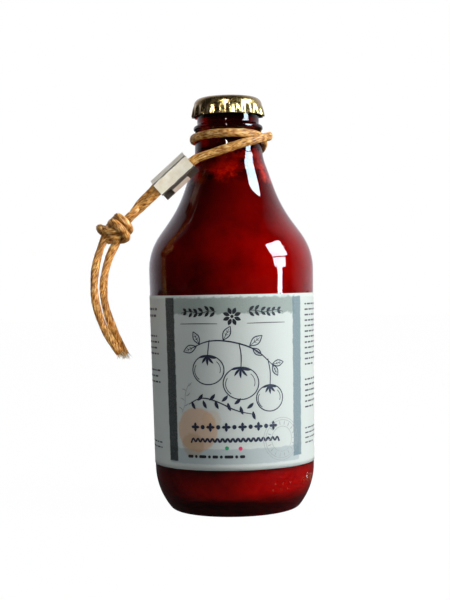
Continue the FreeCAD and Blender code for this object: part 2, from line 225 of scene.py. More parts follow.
# %% World
world = bpy.data.worlds.new("white_room")
bpy.context.scene.world = world
world.use_nodes = True
room = Nodes(world.node_tree)
room.tree.nodes.clear()
rays = room.add("ShaderNodeLightPath")
to_the_back = (0.10, 0.99, 0)
backness = room.add("ShaderNodeVectorMath", room.add("ShaderNodeTexCoord")["Generated"], to_the_back,
                    operation="DOT_PRODUCT")["Value"]
weak, mirrored, white = (room.add("ShaderNodeBackground", colour, strength)[0] for colour, strength in (
    ((0.96, 0.98, 1.0), room.spread(rays["Is Transmission Ray"], 0, 1, 0.44, 0.012)),
    ((0.93, 0.92, 1.0), room.spread(backness, 0.10, 0.75, 0.012, 0.68)),
    ((1, 1, 1), 1.0)))
room.add("ShaderNodeOutputWorld", room.either(
    room.seen(rays), room.either(rays["Is Glossy Ray"], weak, mirrored), white))
print("world: white for the camera, dim for mirrors in front")

# %% [markdown]
# The floor is a plain white sheet. For the camera, most of its white is its own, so that it has
# no edge against the background, and a little comes from the lamps, so that it keeps the
# bottle's shadow. Mirrors find it nearly black, because its white would lie as a haze on the
# glass near the heel.

# %% Floor
class Finish(Nodes):
    """A new material. Its places are the object's own, or a map of its mesh."""

    def __init__(self, name, uv_map=None, **constants):
        self.material = bpy.data.materials.new(name)
        self.material.use_nodes = True
        super().__init__(self.material.node_tree)
        self.shader = self.tree.nodes["Principled BSDF"]
        self.fill(self.shader, **constants)
        if uv_map:
            self.where = self.add("ShaderNodeUVMap", uv_map=uv_map)[0]
        else:
            self.where = self.add("ShaderNodeTexCoord")["Object"]

    def paint(self, **values):
        """Gives inputs of the Principled shader their values, and returns the material."""
        self.fill(self.shader, **values)
        return self.material

    def show(self, surface, volume=None):
        """Shows another shader in place of the Principled one alone, and returns the material."""
        self.fill(self.tree.nodes["Material Output"], surface, volume)
        return self.material

    def height(self, low, high, to_low=0.0, to_high=1.0):
        """Maps the height between two levels onto a range."""
        up = self.add("ShaderNodeSeparateXYZ", self.where)["Z"]
        return self.spread(up, low, high, to_low, to_high)


def new_mesh(name, points, faces, smooth=True):
    """A mesh object at the origin, with its faces turned outwards by the caller."""
    mesh = bpy.data.meshes.new(name)
    mesh.from_pydata([tuple(p) for p in points], [], faces)
    mesh.polygons.foreach_set("use_smooth", [smooth] * len(mesh.polygons))
    mesh.update()
    return placed(name, mesh)


def make_floor(half=3.0, own_white=0.93, mirrored_white=0.02):
    corners = [(-half, -half, 0), (half, -half, 0), (half, half, 0), (-half, half, 0)]
    floor = new_mesh("floor", corners, [(0, 1, 2, 3)], smooth=False)
    t = Finish("white_floor", Roughness=0.9, Specular_IOR_Level=0.1)
    rays = t.add("ShaderNodeLightPath")
    t.paint(Base_Color=t.blend(rays["Is Glossy Ray"], (0.24, 0.24, 0.24), (0.02, 0.02, 0.02)))
    own = t.maths("MULTIPLY", t.seen(rays), own_white)
    own = t.maths("MULTIPLY_ADD", rays["Is Glossy Ray"], mirrored_white, own)
    glow = t.add("ShaderNodeEmission", Strength=1.06)[0]
    floor.data.materials.append(t.show(t.either(own, t.shader.outputs[0], glow)))
    floor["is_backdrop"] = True


make_floor()
print("floor laid")

# %% [markdown]
# ## The bottle's section
# Every round piece of a bottle comes from one section turned about its axis. The section is
# drawn from the same sizes as the model: straight lines joined by arcs that run into each other
# without a corner. An arc is a list of points worked out from its middle, its radius and its
# two angles.

# %% Sizes of the bottle
heel_z = 17.5 * mm
body_len = 78.3 * mm
body_low_r = 31.9 * mm
body_top_r = 33.1 * mm
heel_r = 26.0 * mm
foot_r = 3.5 * mm
rest_ring_w = 1.4 * mm
push_up = 3.6 * mm
shoulder_r = 24.0 * mm
slope_len = 6.2 * mm
sweep_r = 53.0 * mm
sweep_end_r = 18.0 * mm
cone_angle = 19.0
neck_r = 13.75 * mm
neck_round = 18.0 * mm
neck_len = 10.8 * mm
neck_draft = 2.0
collar_h = 2.3 * mm
collar_out = 0.65 * mm
throat_r = 12.5 * mm
throat_len = 4.3 * mm
bead_r = 13.3 * mm
bead_rise = 1.6 * mm
bead_h = 2.2 * mm
lip_r = 2.6 * mm
lip_in_r = 0.8 * mm
wall = 2.5 * mm
base_t = 4.2 * mm
floor_r = 12.0 * mm
bore_r = 8.6 * mm
headspace = 30.6 * mm


# %% Points of a section
def turned(centre, radius, angle):
    """The point at this angle round a centre, as (radius, height); 0 points outwards."""
    turn = radians(angle)
    return (centre[0] + radius * cos(turn), centre[1] + radius * sin(turn))


def bow(centre, radius, start, end, steps):
    """Points of an arc between two angles."""
    return [turned(centre, radius, start + (end - start) * i / steps) for i in range(steps + 1)]


def run(start, end, steps):
    """Points of a straight line."""
    return [(start[0] + (end[0] - start[0]) * i / steps, start[1] + (end[1] - start[1]) * i / steps)
            for i in range(steps + 1)]


shoulder_z = heel_z + body_len
slope_angle = degrees(
    acos((shoulder_r + sweep_r * cos(radians(cone_angle)) - body_top_r + sweep_end_r)
              / hypot(shoulder_r + sweep_r, slope_len))
    - atan2(slope_len, shoulder_r + sweep_r))
tan_cone = tan(radians(cone_angle))
tan_draft = tan(radians(neck_draft))
shoulder_mid = (body_top_r - shoulder_r, shoulder_z)
slope_low = turned(shoulder_mid, shoulder_r, slope_angle)
slope_top = turned(slope_low, slope_len, slope_angle + 90)
sweep_mid = turned(slope_top, sweep_r, slope_angle)
cone_low = turned(sweep_mid, sweep_r, cone_angle + 180)
cone_top = (neck_r, cone_low[1] + (cone_low[0] - neck_r) / tan_cone)
round_low = turned(cone_top, neck_round * tan(radians((cone_angle - neck_draft) / 2)),
                   cone_angle - 90)
round_mid = turned(round_low, neck_round, cone_angle)
round_top = turned(round_mid, neck_round, neck_draft + 180)
collar_z = cone_top[1] + neck_len
collar_low = (neck_r - neck_len * tan_draft, collar_z)
throat_z = collar_z + collar_h
bead_z = throat_z + throat_len
lip_side_z = bead_z + bead_rise + bead_h
lip_z = lip_side_z + lip_r
fill_z = lip_z - headspace
print(f"shoulder {shoulder_z / mm:.1f}, collar {collar_z / mm:.1f}, lip {lip_z / mm:.1f} mm")


# %% Outside and inside of the glass
def joined(*parts):
    """One line through several parts, each of which starts where the one before it ends."""
    return [*parts[0], *(point for part in parts[1:] for point in part[1:])]


def outside(fine=1):
    """The outside, from the middle of the push-up to the top of the lip."""
    heel_mid = (body_low_r - heel_r, heel_z)
    reach = heel_r - foot_r
    drop = heel_mid[1] - foot_r
    foot_mid = (heel_mid[0] + sqrt(reach ** 2 - drop ** 2), foot_r)
    heel_angle = -degrees(asin(drop / reach))
    rest_in = foot_mid[0] - rest_ring_w
    dome_r = (rest_in ** 2 + push_up ** 2) / (2 * push_up)
    rest_angle = degrees(atan2(dome_r - push_up, rest_in))
    bead_top = bead_z + bead_rise
    # The inner edge of the rest ring stands twice in the line, which keeps it sharp.
    ring = [(rest_in, 0), *run((rest_in, 0), (foot_mid[0], 0), 1)]
    return joined(
        bow((0, push_up - dome_r), dome_r, 90, rest_angle, 12 * fine),
        ring,
        bow(foot_mid, foot_r, -90, heel_angle, 8 * fine),
        bow(heel_mid, heel_r, heel_angle, 0, 14 * fine),
        run((body_low_r, heel_z), (body_top_r, shoulder_z), 20 * fine),
        bow(shoulder_mid, shoulder_r, 0, slope_angle, 12 * fine),
        run(slope_low, slope_top, 3 * fine),
        bow(sweep_mid, sweep_r, slope_angle + 180, cone_angle + 180, 8 * fine),
        run(cone_low, round_low, 4 * fine),
        bow(round_mid, neck_round, cone_angle + 180, neck_draft + 180, 6 * fine),
        run(round_top, collar_low, 3 * fine),
        collar_points(10),
        run((throat_r, throat_z), (throat_r, bead_z), 3),
        run((throat_r, bead_z), (bead_r, bead_top), 3),
        run((bead_r, bead_top), (bead_r, lip_side_z), 3),
        bow((bead_r - lip_r, lip_side_z), lip_r, 0, 90, 8))


def collar_points(steps):
    """The collar's bulge: the circle through its lower edge, its middle and its upper edge."""
    (x1, y1), (x2, y2), (x3, y3) = ends = (
        collar_low, (collar_low[0] + collar_out, collar_z + collar_h / 2), (throat_r, throat_z))
    span = 2 * (x1 * (y2 - y3) + x2 * (y3 - y1) + x3 * (y1 - y2))
    sq1, sq2, sq3 = (x * x + y * y for x, y in ends)
    mid = ((sq1 * (y2 - y3) + sq2 * (y3 - y1) + sq3 * (y1 - y2)) / span,
           (sq1 * (x3 - x2) + sq2 * (x1 - x3) + sq3 * (x2 - x1)) / span)
    low, top = (degrees(atan2(y - mid[1], x - mid[0])) for x, y in (ends[0], ends[2]))
    return bow(mid, hypot(x1 - mid[0], y1 - mid[1]), low, top, steps)


def inside(gap=0.0, fine=1):
    """The hollow, from the middle of its floor up to the bore, held off the glass by a gap."""
    depth = wall + gap
    low_r = body_low_r - depth
    floor_z = push_up + base_t + gap
    corner = floor_r - gap
    corner_mid = (low_r - corner, floor_z + corner)
    bore = bore_r - gap
    cone_in = turned(cone_low, -depth, cone_angle)
    return joined(
        run((0, floor_z), (corner_mid[0], floor_z), 6),
        bow(corner_mid, corner, -90, 0, 10 * fine),
        run((low_r, corner_mid[1]), (body_top_r - depth, shoulder_z), 16 * fine),
        bow(shoulder_mid, shoulder_r - depth, 0, slope_angle, 12 * fine),
        run(turned(slope_low, -depth, slope_angle), turned(slope_top, -depth, slope_angle), 3),
        bow(sweep_mid, sweep_r + depth, slope_angle + 180, cone_angle + 180, 8 * fine),
        run(cone_in, (bore, cone_in[1] + (cone_in[0] - bore) / tan_cone), 8 * fine))


def radius_at(section, height):
    """Radius of a section at a height, where the section climbs."""
    for (r0, z0), (r1, z1) in zip(section, section[1:]):
        if z0 <= height <= z1 and z1 > z0:
            return r0 + (r1 - r0) * (height - z0) / (z1 - z0)
    return section[-1][0]


print("outside has", len(outside()), "points, inside", len(inside()))

# %% [markdown]
# ## Turning a section
# A lathe copies the section round the axis and joins each copy to the next. A point on the axis
# is kept once, so that the pole is closed. Blown glass is never quite round: a slow swell of a
# few hundredths of a millimetre, always inwards, makes its highlights wander as on the real thing.

# %% Lathe
on_axis = 1e-7


def lathe(name, section, turns=192, swell=0.0, reverse=False):
    """Turns a section of (radius, height) points about the axis into one mesh."""
    points, rows = [], []
    for radius, height in section:
        if radius < on_axis:
            rows.append([len(points)] * turns)
            points.append((0, 0, height))
            continue
        rows.append(list(range(len(points), len(points) + turns)))
        for step in range(turns):
            angle = 2 * pi * step / turns
            slow, quick = 3 * angle + height * 160, 5 * angle - height * 260 + 1.3
            r = radius + swell * (sin(slow) + 0.6 * sin(quick) - 1.6)
            points.append((r * cos(angle), r * sin(angle), height))
    faces = []
    for low, top in zip(rows, rows[1:]):
        for a in range(turns):
            b = (a + 1) % turns
            face = [low[a], low[b], top[b], top[a]]
            face = [p for i, p in enumerate(face) if p not in face[:i]]
            if len(face) > 2:
                faces.append(face[::-1] if reverse else face)
    return new_mesh(name, points, faces)


def finish_piece(obj, material, slot, *nodes):
    """Gives a piece its material, hangs it on the root, and hides the nodes of the model that it stands for.
    """
    obj.data.materials.clear()
    obj.data.materials.append(material)
    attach(obj, "root")
    if nodes:
        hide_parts(*nodes)
    print(obj.name, "has", len(obj.data.polygons), "faces")
    return obj


# %% [markdown]
# ## Amber glass
# Brown bottle glass lets red and orange light through and little else, and the thicker it is,
# the darker it looks. A tint painted on its skin would be the same everywhere, so the glass is
# filled with an absorbing volume, which darkens with depth by itself. Only the empty neck, where
# two thin walls have no sauce between them, gets a tint as well, which grows darker towards the
# top: painted shade. Lamps can't shine through glass by themselves in a path tracer, so shadow
# rays find it clear, and the sauce behind it gets its light. Fine bumps stand for the ripples
# left by the mould.

# %% Amber glass
def amber_glass():
    t = Finish("amber_glass", Transmission_Weight=1.0, Roughness=0.02, IOR=1.51)
    # Painted shade: the glass is tinted darker from just above the sauce, and darkest from 9 mm above it up
    # to the lip.
    tint = t.ramp(t.height(fill_z + 0.5 * mm, fill_z + 9 * mm), (0.0, (1.0, 1.0, 1.0)),
                  (0.45, (0.34, 0.25, 0.20)), (1.0, (0.13, 0.10, 0.09)))
    t.paint(Base_Color=tint, Normal=t.bump(t.noise(90, 2.0), 0.12, 0.6 * mm))
    depth = t.add("ShaderNodeVolumeAbsorption", Color=(0.97, 0.60, 0.08), Density=1500.0)[0]
    clear = t.add("ShaderNodeBsdfTransparent")[0]
    shadow = t.add("ShaderNodeLightPath")["Is Shadow Ray"]
    return t.show(t.either(shadow, t.shader.outputs[0], clear), depth)


glass = amber_glass()


def make_bottle():
    """Outside, lip, bore and inside of the glass in one closed skin."""
    lip_in = (bore_r + lip_in_r, lip_z - lip_in_r)
    hollow = inside()[::-1]
    section = joined(outside(), run((bead_r - lip_r, lip_z), (lip_in[0], lip_z), 2),
                     bow(lip_in, lip_in_r, 90, 180, 5), run((bore_r, lip_in[1]), hollow[0], 6), hollow)
    return lathe("glass_bottle", section, swell=0.025 * mm)


finish_piece(make_bottle(), glass, "amber_glass", "bottle")

# %% [markdown]
# ## Sauce
# Tomato sauce is thick and hides what is behind it, so it is a solid red skin. It reaches just
# into the glass. If it stopped short, a film of air would show as a silver sheen. Pulp and seeds
# make it mottled, and its top has a narrow rim that climbs the glass and is blotched like the
# film above it. Low in the bottle, where the glass is thickest, light also wanders inside the
# sauce. That is subsurface scattering, and without it the heel would look black. Its colour is
# also painted brighter towards the bottom, which is painted light, and darker towards its top.

# %% Sauce
def mottled(t):
    """Sauce that sticks to the neck: thick and dark in one place, thin and orange in another."""
    blotch = t.noise(130, 5.0, 0.62)
    return blotch, t.ramp(blotch, (0.42, (0.05, 0.003, 0.001)), (0.50, (0.30, 0.03, 0.003)),
                          (0.56, (0.62, 0.16, 0.015)), (0.64, (0.90, 0.50, 0.06)))


def tomato_sauce():
    t = Finish("tomato_sauce", Roughness=0.55, Specular_IOR_Level=0.0,
               Subsurface_Radius=(1.0, 0.3, 0.1), Subsurface_Scale=12 * mm)
    pulp = t.ramp(t.noise(55, 4.0, 0.6), (0.34, (0.50, 0.012, 0.003)),
                  (0.50, (0.82, 0.028, 0.006)), (0.66, (1.0, 0.075, 0.012)))
    # Painted light: the sauce's colour is brighter towards the bottom and darker towards its top.
    painted_light_by_height = t.ramp(t.height(8 * mm, fill_z), (0.0, (1.0, 0.90, 0.90)), (0.05, (0.50, 0.40, 0.40)),
                  (0.14, (0.36, 0.24, 0.24)), (0.40, (0.36, 0.21, 0.21)), (0.74, (0.36, 0.21, 0.21)),
                  (0.90, (0.18, 0.11, 0.11)), (1.0, (0.13, 0.08, 0.08)))
    near_top = t.height(fill_z - 5 * mm, fill_z - 1.5 * mm)
    body = t.blend(near_top, t.blend(1.0, pulp, painted_light_by_height, "MULTIPLY"), mottled(t)[1])
    return t.paint(Base_Color=body, Subsurface_Weight=t.height(12 * mm, 20 * mm, 1.0, 0.0),
                   Normal=t.bump(t.noise(420, 2.0), 0.3, 0.4 * mm))


def make_sauce(overlap=0.12 * mm, rim=0.9 * mm):
    """The filled hollow up to its level, with a meniscus."""
    hollow = inside(-overlap, 2)
    side = [p for p in hollow if p[1] < fill_z]
    edge_r = radius_at(hollow, fill_z)
    top = [(edge_r, fill_z + rim), (edge_r - 0.4 * rim, fill_z + 0.35 * rim), (edge_r - rim, fill_z),
           (0, fill_z)]
    return lathe("tomato_sauce_fill", side + top, turns=160)


finish_piece(make_sauce(), tomato_sauce(), "tomato_sauce", "sauce")

# %% [markdown]
# ## Film above the sauce
# A bottle that has been carried and tilted keeps a thin coat of sauce on the inside of its neck.
# It is brighter than the sauce below, because light comes through it from behind. It is a skin
# that reaches just into the glass, and its noise opens holes in it.

# %% Film of sauce
def sauce_film():
    t = Finish("sauce_film", Roughness=0.5, Specular_IOR_Level=0.0)
    blotch, tint = mottled(t)
    t.paint(Base_Color=tint, Normal=t.bump(blotch, 0.5, 0.5 * mm))
    cover = t.maths("SUBTRACT", blotch, t.height(fill_z + 1 * mm, fill_z + 12 * mm, 0.30, 0.62))
    sharp = t.maths("MULTIPLY_ADD", cover, 9.0, 0.5, use_clamp=True)
    from_behind = t.add("ShaderNodeBsdfTranslucent", (0.95, 0.20, 0.02))[0]
    hole = t.add("ShaderNodeBsdfTransparent")[0]
    return t.show(t.either(sharp, hole, t.either(0.30, t.shader.outputs[0], from_behind)))


def make_film(reach=14 * mm, off=-0.05 * mm, start=0.3 * mm, steps=24):
    """A skin on the inside of the neck, from the level of the sauce upwards."""
    hollow = inside(off, 2) + [(bore_r - off, lip_z)]
    levels = [fill_z + start + reach * i / steps for i in range(steps + 1)]
    return lathe("sauce_film_in_neck", [(radius_at(hollow, z), z) for z in levels], turns=128)


finish_piece(make_film(), sauce_film(), "tomato_sauce")

# %% [markdown]
# ## Crown cap
# A crown is a disc of lacquered tin pressed into 21 flutes. The flutes follow a rule: the
# skirt's radius swings out and in with the cosine of 21 times the angle, the more the lower it
# is. So the plain cap is turned on the lathe, with each point's share of the skirt kept beside
# it, and Geometry Nodes push every point out by that rule.

# %% Sizes of the crown
tin = 0.3 * mm
flutes = 21
skirt_h = 4.3 * mm
skirt_gap = 0.15 * mm
tooth_out = 1.0 * mm
edge_flare = 0.15 * mm
skirt_top_z = lip_z - lip_r - skirt_gap


# %% Geometry Nodes helpers
def geometry_nodes(name, steps, *numbers):
    """A tree with named inputs: its own steps, then real copies and a material."""
    tree = bpy.data.node_groups.new(name, "GeometryNodeTree")
    for key, side, kind in (("Geometry", "INPUT", "Geometry"), *((n, "INPUT", "Float") for n in numbers),
                            ("Material", "INPUT", "Material"), ("Geometry", "OUTPUT", "Geometry")):
        tree.interface.new_socket(key, in_out=side, socket_type="NodeSocket" + kind)
    t = Nodes(tree)
    given = t.add("NodeGroupInput")
    real = t.add("GeometryNodeRealizeInstances", steps(t, given))[0]
    t.add("NodeGroupOutput", t.add("GeometryNodeSetMaterial", real, Material=given["Material"])[0])
    return tree


def apply_nodes(obj, tree, **values):
    """Runs a node tree on an object with named inputs, and keeps the plain mesh that it makes."""
    modifier = obj.modifiers.new(tree.name, "NODES")
    modifier.node_group = tree
    for item in tree.interface.items_tree:
        if item.in_out == "INPUT" and item.name in values:
            modifier[item.identifier] = values[item.name]
    keep_result(obj)
    obj.data.polygons.foreach_set("use_smooth", [True] * len(obj.data.polygons))
    print(obj.name, "by nodes:", len(obj.data.polygons), "faces")


def keep_result(obj):
    """Replaces an object's mesh by what its modifiers make of it, and takes them off."""
    made = bpy.data.meshes.new_from_object(obj.evaluated_get(bpy.context.evaluated_depsgraph_get()))
    obj.modifiers.clear()
    obj.data = made


# %% Crown
def fluted(t, given):
    """Pushes the skirt's points outwards by the cosine of the flutes' count."""
    at = t.add("ShaderNodeSeparateXYZ", t.add("GeometryNodeInputPosition")[0])
    turn = t.maths("ARCTAN2", at["Y"], at["X"])
    swing = t.maths("COSINE", t.maths("MULTIPLY", turn, given["Flutes"]))
    share = t.add("GeometryNodeInputNamedAttribute", data_type="FLOAT", Name="share")["Attribute"]
    by_share = t.maths("MULTIPLY", t.maths("MULTIPLY_ADD", swing, 0.5, 0.5), share)
    flat = t.add("ShaderNodeCombineXYZ", at["X"], at["Y"])[0]
    outwards = t.add("ShaderNodeVectorMath", flat, operation="NORMALIZE")[0]
    push = t.add("ShaderNodeVectorMath", outwards, operation="SCALE",
                 Scale=t.maths("MULTIPLY", by_share, given["Depth"]))[0]
    return t.add("GeometryNodeSetPosition", given["Geometry"], Offset=push)[0]


def gold_lacquer():
    """Gold lacquer over tin, a little duller in some places than in others."""
    t = Finish("gold_lacquer", Metallic=1.0, Coat_Weight=0.7, Coat_Roughness=0.08)
    rub = t.noise(900, 2.0)
    return t.paint(Roughness=t.spread(rub, 0.3, 0.7, 0.22, 0.34), Normal=t.bump(rub, 0.08, 0.2 * mm),
                   Base_Color=t.ramp(t.noise(260, 4.0), (0.3, (0.34, 0.215, 0.065)),
                                     (0.7, (0.52, 0.36, 0.14))))


def make_crown(gold, turns=flutes * 14, steps=10, top_edge=0.6):
    """The plain cap, outside and inside, as rows of (radius, height, share), then its flutes."""
    flat_r = bead_r - lip_r
    corner = lip_r + skirt_gap + tin
    mid = (flat_r, lip_z + tin - corner)
    skirt = [(flat_r + corner + edge_flare * k / steps, skirt_top_z - skirt_h * k / steps,
              (k / steps) ** top_edge) for k in range(steps + 1)]
    rows = [(share * flat_r, lip_z + tin, 0) for share in (0, 0.4, 0.93)]
    rows += [(r, z, 0) for r, z in bow(mid, corner, 90, 0, 8)] + skirt[1:]
    edge_r, edge_z, _ = skirt[-1]
    rows += [(edge_r - tin * 0.15, edge_z - tin * 0.2, 1.0), (edge_r - tin * 0.85, edge_z - tin * 0.2, 1.0)]
    rows += [(r - tin, z, s) for r, z, s in skirt[::-1]]
    rows += [(r, z, 0) for r, z in bow(mid, corner - tin, 0, 90, 8)] + [(0, lip_z, 0)]
    cap = lathe("crown_cap_fluted", [(r, z) for r, z, _ in rows], turns=turns, reverse=True)
    shares = [s for r, _, s in rows for _ in range(1 if r < on_axis else turns)]
    cap.data.attributes.new("share", "FLOAT", "POINT").data.foreach_set("value", shares)
    apply_nodes(cap, geometry_nodes("crown_flutes", fluted, "Flutes", "Depth"),
                Flutes=float(flutes), Depth=tooth_out, Material=gold)
    return cap


gold = gold_lacquer()
finish_piece(make_crown(gold), gold, "gold_crown", "crown_cap")

# %% [markdown]
# ## Paper label
# The label is a sheet of uncoated paper that goes nearly all the way round, with its two ends
# at the back. It is made as a thin shell on the body. Its own map counts millimetres: to the
# right along the paper from the middle of the front, and up from its lower edge. Everything
# printed on it is then placed in plain millimetres.

# %% Sizes of the label
label_low = 1.5 * mm
label_h = 66.9 * mm
label_t = 0.2 * mm
label_open = 12.0 * mm
ink_lift = 0.04 * mm
label_z = heel_z + label_low


def body_radius(height):
    return body_low_r + (body_top_r - body_low_r) * (height - heel_z) / body_len


label_mean_r = body_radius(label_z + label_h / 2)
half_turn = pi - label_open / 2 / label_mean_r


def on_label(u, v, lift):
    """The place of a spot of the label: right and up in millimetres, and lift off the glass."""
    height = label_z + v * mm
    return facing(u * mm / label_mean_r, body_radius(height) + lift, height)


# %% Paper sheet
def make_paper(columns=220, rows=40):
    """Front, back and edges of the sheet, with its map in millimetres."""
    span = half_turn * label_mean_r / mm
    us = [-span + 2 * span * i / columns for i in range(columns + 1)]
    vs = [label_h / mm * j / rows for j in range(rows + 1)]
    places = [(u, v) for v in vs for u in us]
    points = [on_label(u, v, lift) for lift in (label_t - ink_lift, 0.02 * mm) for u, v in places]
    wide, back = columns + 1, len(places)
    faces = []
    for a in (j * wide + i for j in range(rows) for i in range(columns)):
        faces.append((a, a + 1, a + wide + 1, a + wide))
        faces.append((back + a, back + a + wide, back + a + wide + 1, back + a + 1))
    high = rows * wide
    border = [*range(columns), *range(columns, high + columns, wide), *range(high + columns, high, -1),
              *range(high, 0, -wide)]
    faces += [(a, back + a, back + b, b) for a, b in zip(border, border[1:] + border[:1])]
    paper = new_mesh("paper_label", points, faces)
    layer = paper.data.uv_layers.new(name="millimetres")
    for loop in paper.data.loops:
        layer.data[loop.index].uv = places[loop.vertex_index % back]
    return paper


# %% [markdown]
# A wash of watercolour has an edge that wanders, pigment that gathers along that edge, and
# grains where the paper is rough. One group of nodes gives the mask of such a wash in a box of
# the label, and each wash is the same group with its own numbers.

# %% Wash group
def wash_group(name, rounded):
    """Mask of a painted box or disc: 0 outside, 1 inside, with a wandering edge."""
    tree = bpy.data.node_groups.new(name, "ShaderNodeTree")
    tree.interface.new_socket("Place", in_out="INPUT", socket_type="NodeSocketVector")
    for key in ("Left", "Right", "Low", "High", "Wander", "Size", "Soft"):
        tree.interface.new_socket(key, in_out="INPUT", socket_type="NodeSocketFloat")
    tree.interface.new_socket("Mask", in_out="OUTPUT", socket_type="NodeSocketFloat")
    t = Nodes(tree)
    given = t.add("NodeGroupInput")
    place, left, right, low, high, wander, size, soft = list(given)[:8]

    def half_way(a, b):
        return t.maths("MULTIPLY", t.maths("ADD", a, b), 0.5)

    if rounded:
        middle = t.add("ShaderNodeCombineXYZ", half_way(left, right), half_way(low, high))[0]
        far = t.add("ShaderNodeVectorMath", place, middle, operation="DISTANCE")["Value"]
        reach = t.maths("SUBTRACT", half_way(right, high), half_way(left, low))
        within = t.maths("SUBTRACT", t.maths("MULTIPLY", reach, 0.5), far)
    else:
        at = t.add("ShaderNodeSeparateXYZ", place)
        within = t.maths("SUBTRACT", at["X"], left)
        for a, b in ((right, at["X"]), (at["Y"], low), (high, at["Y"])):
            within = t.maths("MINIMUM", within, t.maths("SUBTRACT", a, b))
    stray = t.maths("SUBTRACT", t.noise(size, 4.0, where=place), 0.5)
    edge = t.maths("ADD", within, t.maths("MULTIPLY", stray, wander))
    t.add("NodeGroupOutput", t.maths("ADD", t.maths("DIVIDE", edge, soft), 0.5, use_clamp=True))
    return tree


# %% Paper and its washes
# Each wash: colour, left, right, low, high (mm), wander, size of the wander, softness, strength,
# and whether it is a disc.
washes = [
    ((0.205, 0.262, 0.236), -25.0, 26.5, 59.6, 65.9, 2.8, 0.5, 0.7, 0.80, False),
    ((0.385, 0.455, 0.470), -28.4, 29.0, 2.4, 8.2, 1.0, 0.4, 0.4, 0.85, False),
    ((0.012, 0.018, 0.020), -28.9, -24.1, 3.0, 66.1, 0.9, 0.4, 0.4, 0.98, False),
    ((0.130, 0.205, 0.240), 25.6, 30.4, 4.2, 65.7, 0.9, 0.4, 0.4, 0.92, False),
    ((0.660, 0.320, 0.120), -23.4, -6.4, 7.0, 24.0, 2.0, 0.3, 0.8, 0.58, True),
    ((0.400, 0.250, 0.120), -21.4, -12.0, 5.0, 14.4, 2.0, 0.4, 0.9, 0.45, True),
    ((0.600, 0.340, 0.160), -12.6, -5.0, 15.6, 23.2, 1.4, 0.4, 0.8, 0.30, True),
]


def label_paper():
    t = Finish("label_paper", "millimetres", Roughness=0.62, Specular_IOR_Level=0.3)
    fibre, grain = t.noise(3.0, 5.0, 0.7), t.noise(1.6, 6.0, 0.75)
    colour = t.ramp(fibre, (0.3, (0.545, 0.600, 0.575)), (0.7, (0.610, 0.665, 0.640)))
    groups = wash_group("painted_box", False), wash_group("painted_disc", True)
    for tint, *numbers, strength, rounded in washes:
        mask = t.add("ShaderNodeGroup", t.where, *numbers, node_tree=groups[rounded])[0]
        cover = t.spread(grain, 0.3, 0.7, strength * 0.80, strength * 1.04)
        colour = t.blend(t.maths("MULTIPLY", mask, cover), colour, tint)
    return t.paint(Base_Color=colour, Normal=t.bump(fibre, 0.12, 0.2 * mm))


finish_piece(make_paper(), label_paper(), "label_paper", "label")

# %% [markdown]
# ## Printed line work
# Fine print needs crisp edges, which a noise can't give, so each stroke is a very thin strip of
# ink that lies on the paper. A strip is drawn flat in the label's millimetres and then wrapped
# on by the same function that wraps the paper. Strips are cut into short pieces, because a long
# flat one would dive under the round paper. The design is a plain one of the kind that any
# grocer might use: a branch with tomatoes, garlands of leaves, and rows of beads and dashes.

# %% Strokes, leaves and dots
class Ink:
    """Collects flat shapes in the label's millimetres."""

    def __init__(self):
        self.spots, self.faces = [], []

    def strip(self, line, widths):
        """A ribbon along a line, with a width at each point."""
        line = np.array(line, dtype=float)
        way = np.gradient(line, axis=0)
        way /= np.linalg.norm(way, axis=1)[:, None] + 1e-9
        side = np.stack([-way[:, 1], way[:, 0]], axis=1) * np.array(widths)[:, None] / 2
        first = len(self.spots)
        for left, right in zip(line + side, line - side):
            self.spots += [tuple(left), tuple(right)]
        for k in range(first, first + 2 * (len(line) - 1), 2):
            self.faces.append((k + 1, k + 3, k + 2, k))

    def stroke(self, corners, width, taper=0.35, step=0.5):
        """A pen stroke through corners, rounded by a spline and thinner at its ends."""
        line = smooth(corners, step)
        share = np.linspace(0, 1, len(line))
        thin = taper + (1 - taper) * np.sin(np.pi * np.clip(share, 0.02, 0.98)) ** 0.5
        self.strip(line, width * thin)

    def ring(self, u, v, across, width, squash=1.0, start=0.0, end=360.0):
        """A circle or a part of one, drawn with a pen."""
        turns = np.radians(np.linspace(start, end, max(8, int(abs(end - start) / 9))))
        half = across / 2
        line = np.stack([u + half * np.cos(turns), v + half * squash * np.sin(turns)], axis=1)
        self.strip(line, np.full(len(line), width))

    def leaf(self, u, v, angle, length, width, bend=0.0):
        """A filled leaf, pointed at both ends."""
        share = np.linspace(0, 1, 9)
        turn = radians(angle) + bend * (share - 0.5)
        way = np.stack([np.cos(turn), np.sin(turn)], axis=1) * length / 8
        line = np.array([u, v]) + np.concatenate([[[0, 0]], np.cumsum(way[:-1], axis=0)])
        self.strip(line, width * np.sin(np.pi * np.clip(share, 0.01, 0.99)) ** 0.8)

    def dash(self, u, v, length, width):
        """A short level dash with rounded ends."""
        count = max(3, int(length / 0.8) + 3)
        share = np.linspace(0, 1, count)
        line = np.stack([u + length * share, np.full(count, v)], axis=1)
        line[1, 0], line[-2, 0] = u + 0.25 * width, u + length - 0.25 * width
        widths = np.full(count, width)
        widths[0] = widths[-1] = width * 0.45
        self.strip(line, widths)

    def dot(self, u, v, across):
        """A filled round dot."""
        half = across / 2
        share = np.linspace(-0.96, 0.96, 9)
        self.strip([(u + half * s, v) for s in share], across * np.sqrt(1 - share * share))

    def piece(self, name, colour):
        """Wraps the shapes on the paper and gives them their ink, which is paler where worn."""
        lift = label_t - 0.008 * mm
        t = Finish(name, Roughness=0.55)
        worn = tuple(c * 1.5 + 0.012 for c in colour)
        t.paint(Base_Color=t.ramp(t.noise(900, 4.0, 0.6), (0.35, colour), (0.75, worn)))
        obj = new_mesh(name, [on_label(u, v, lift) for u, v in self.spots], self.faces)
        finish_piece(obj, t.material, "label_paper")


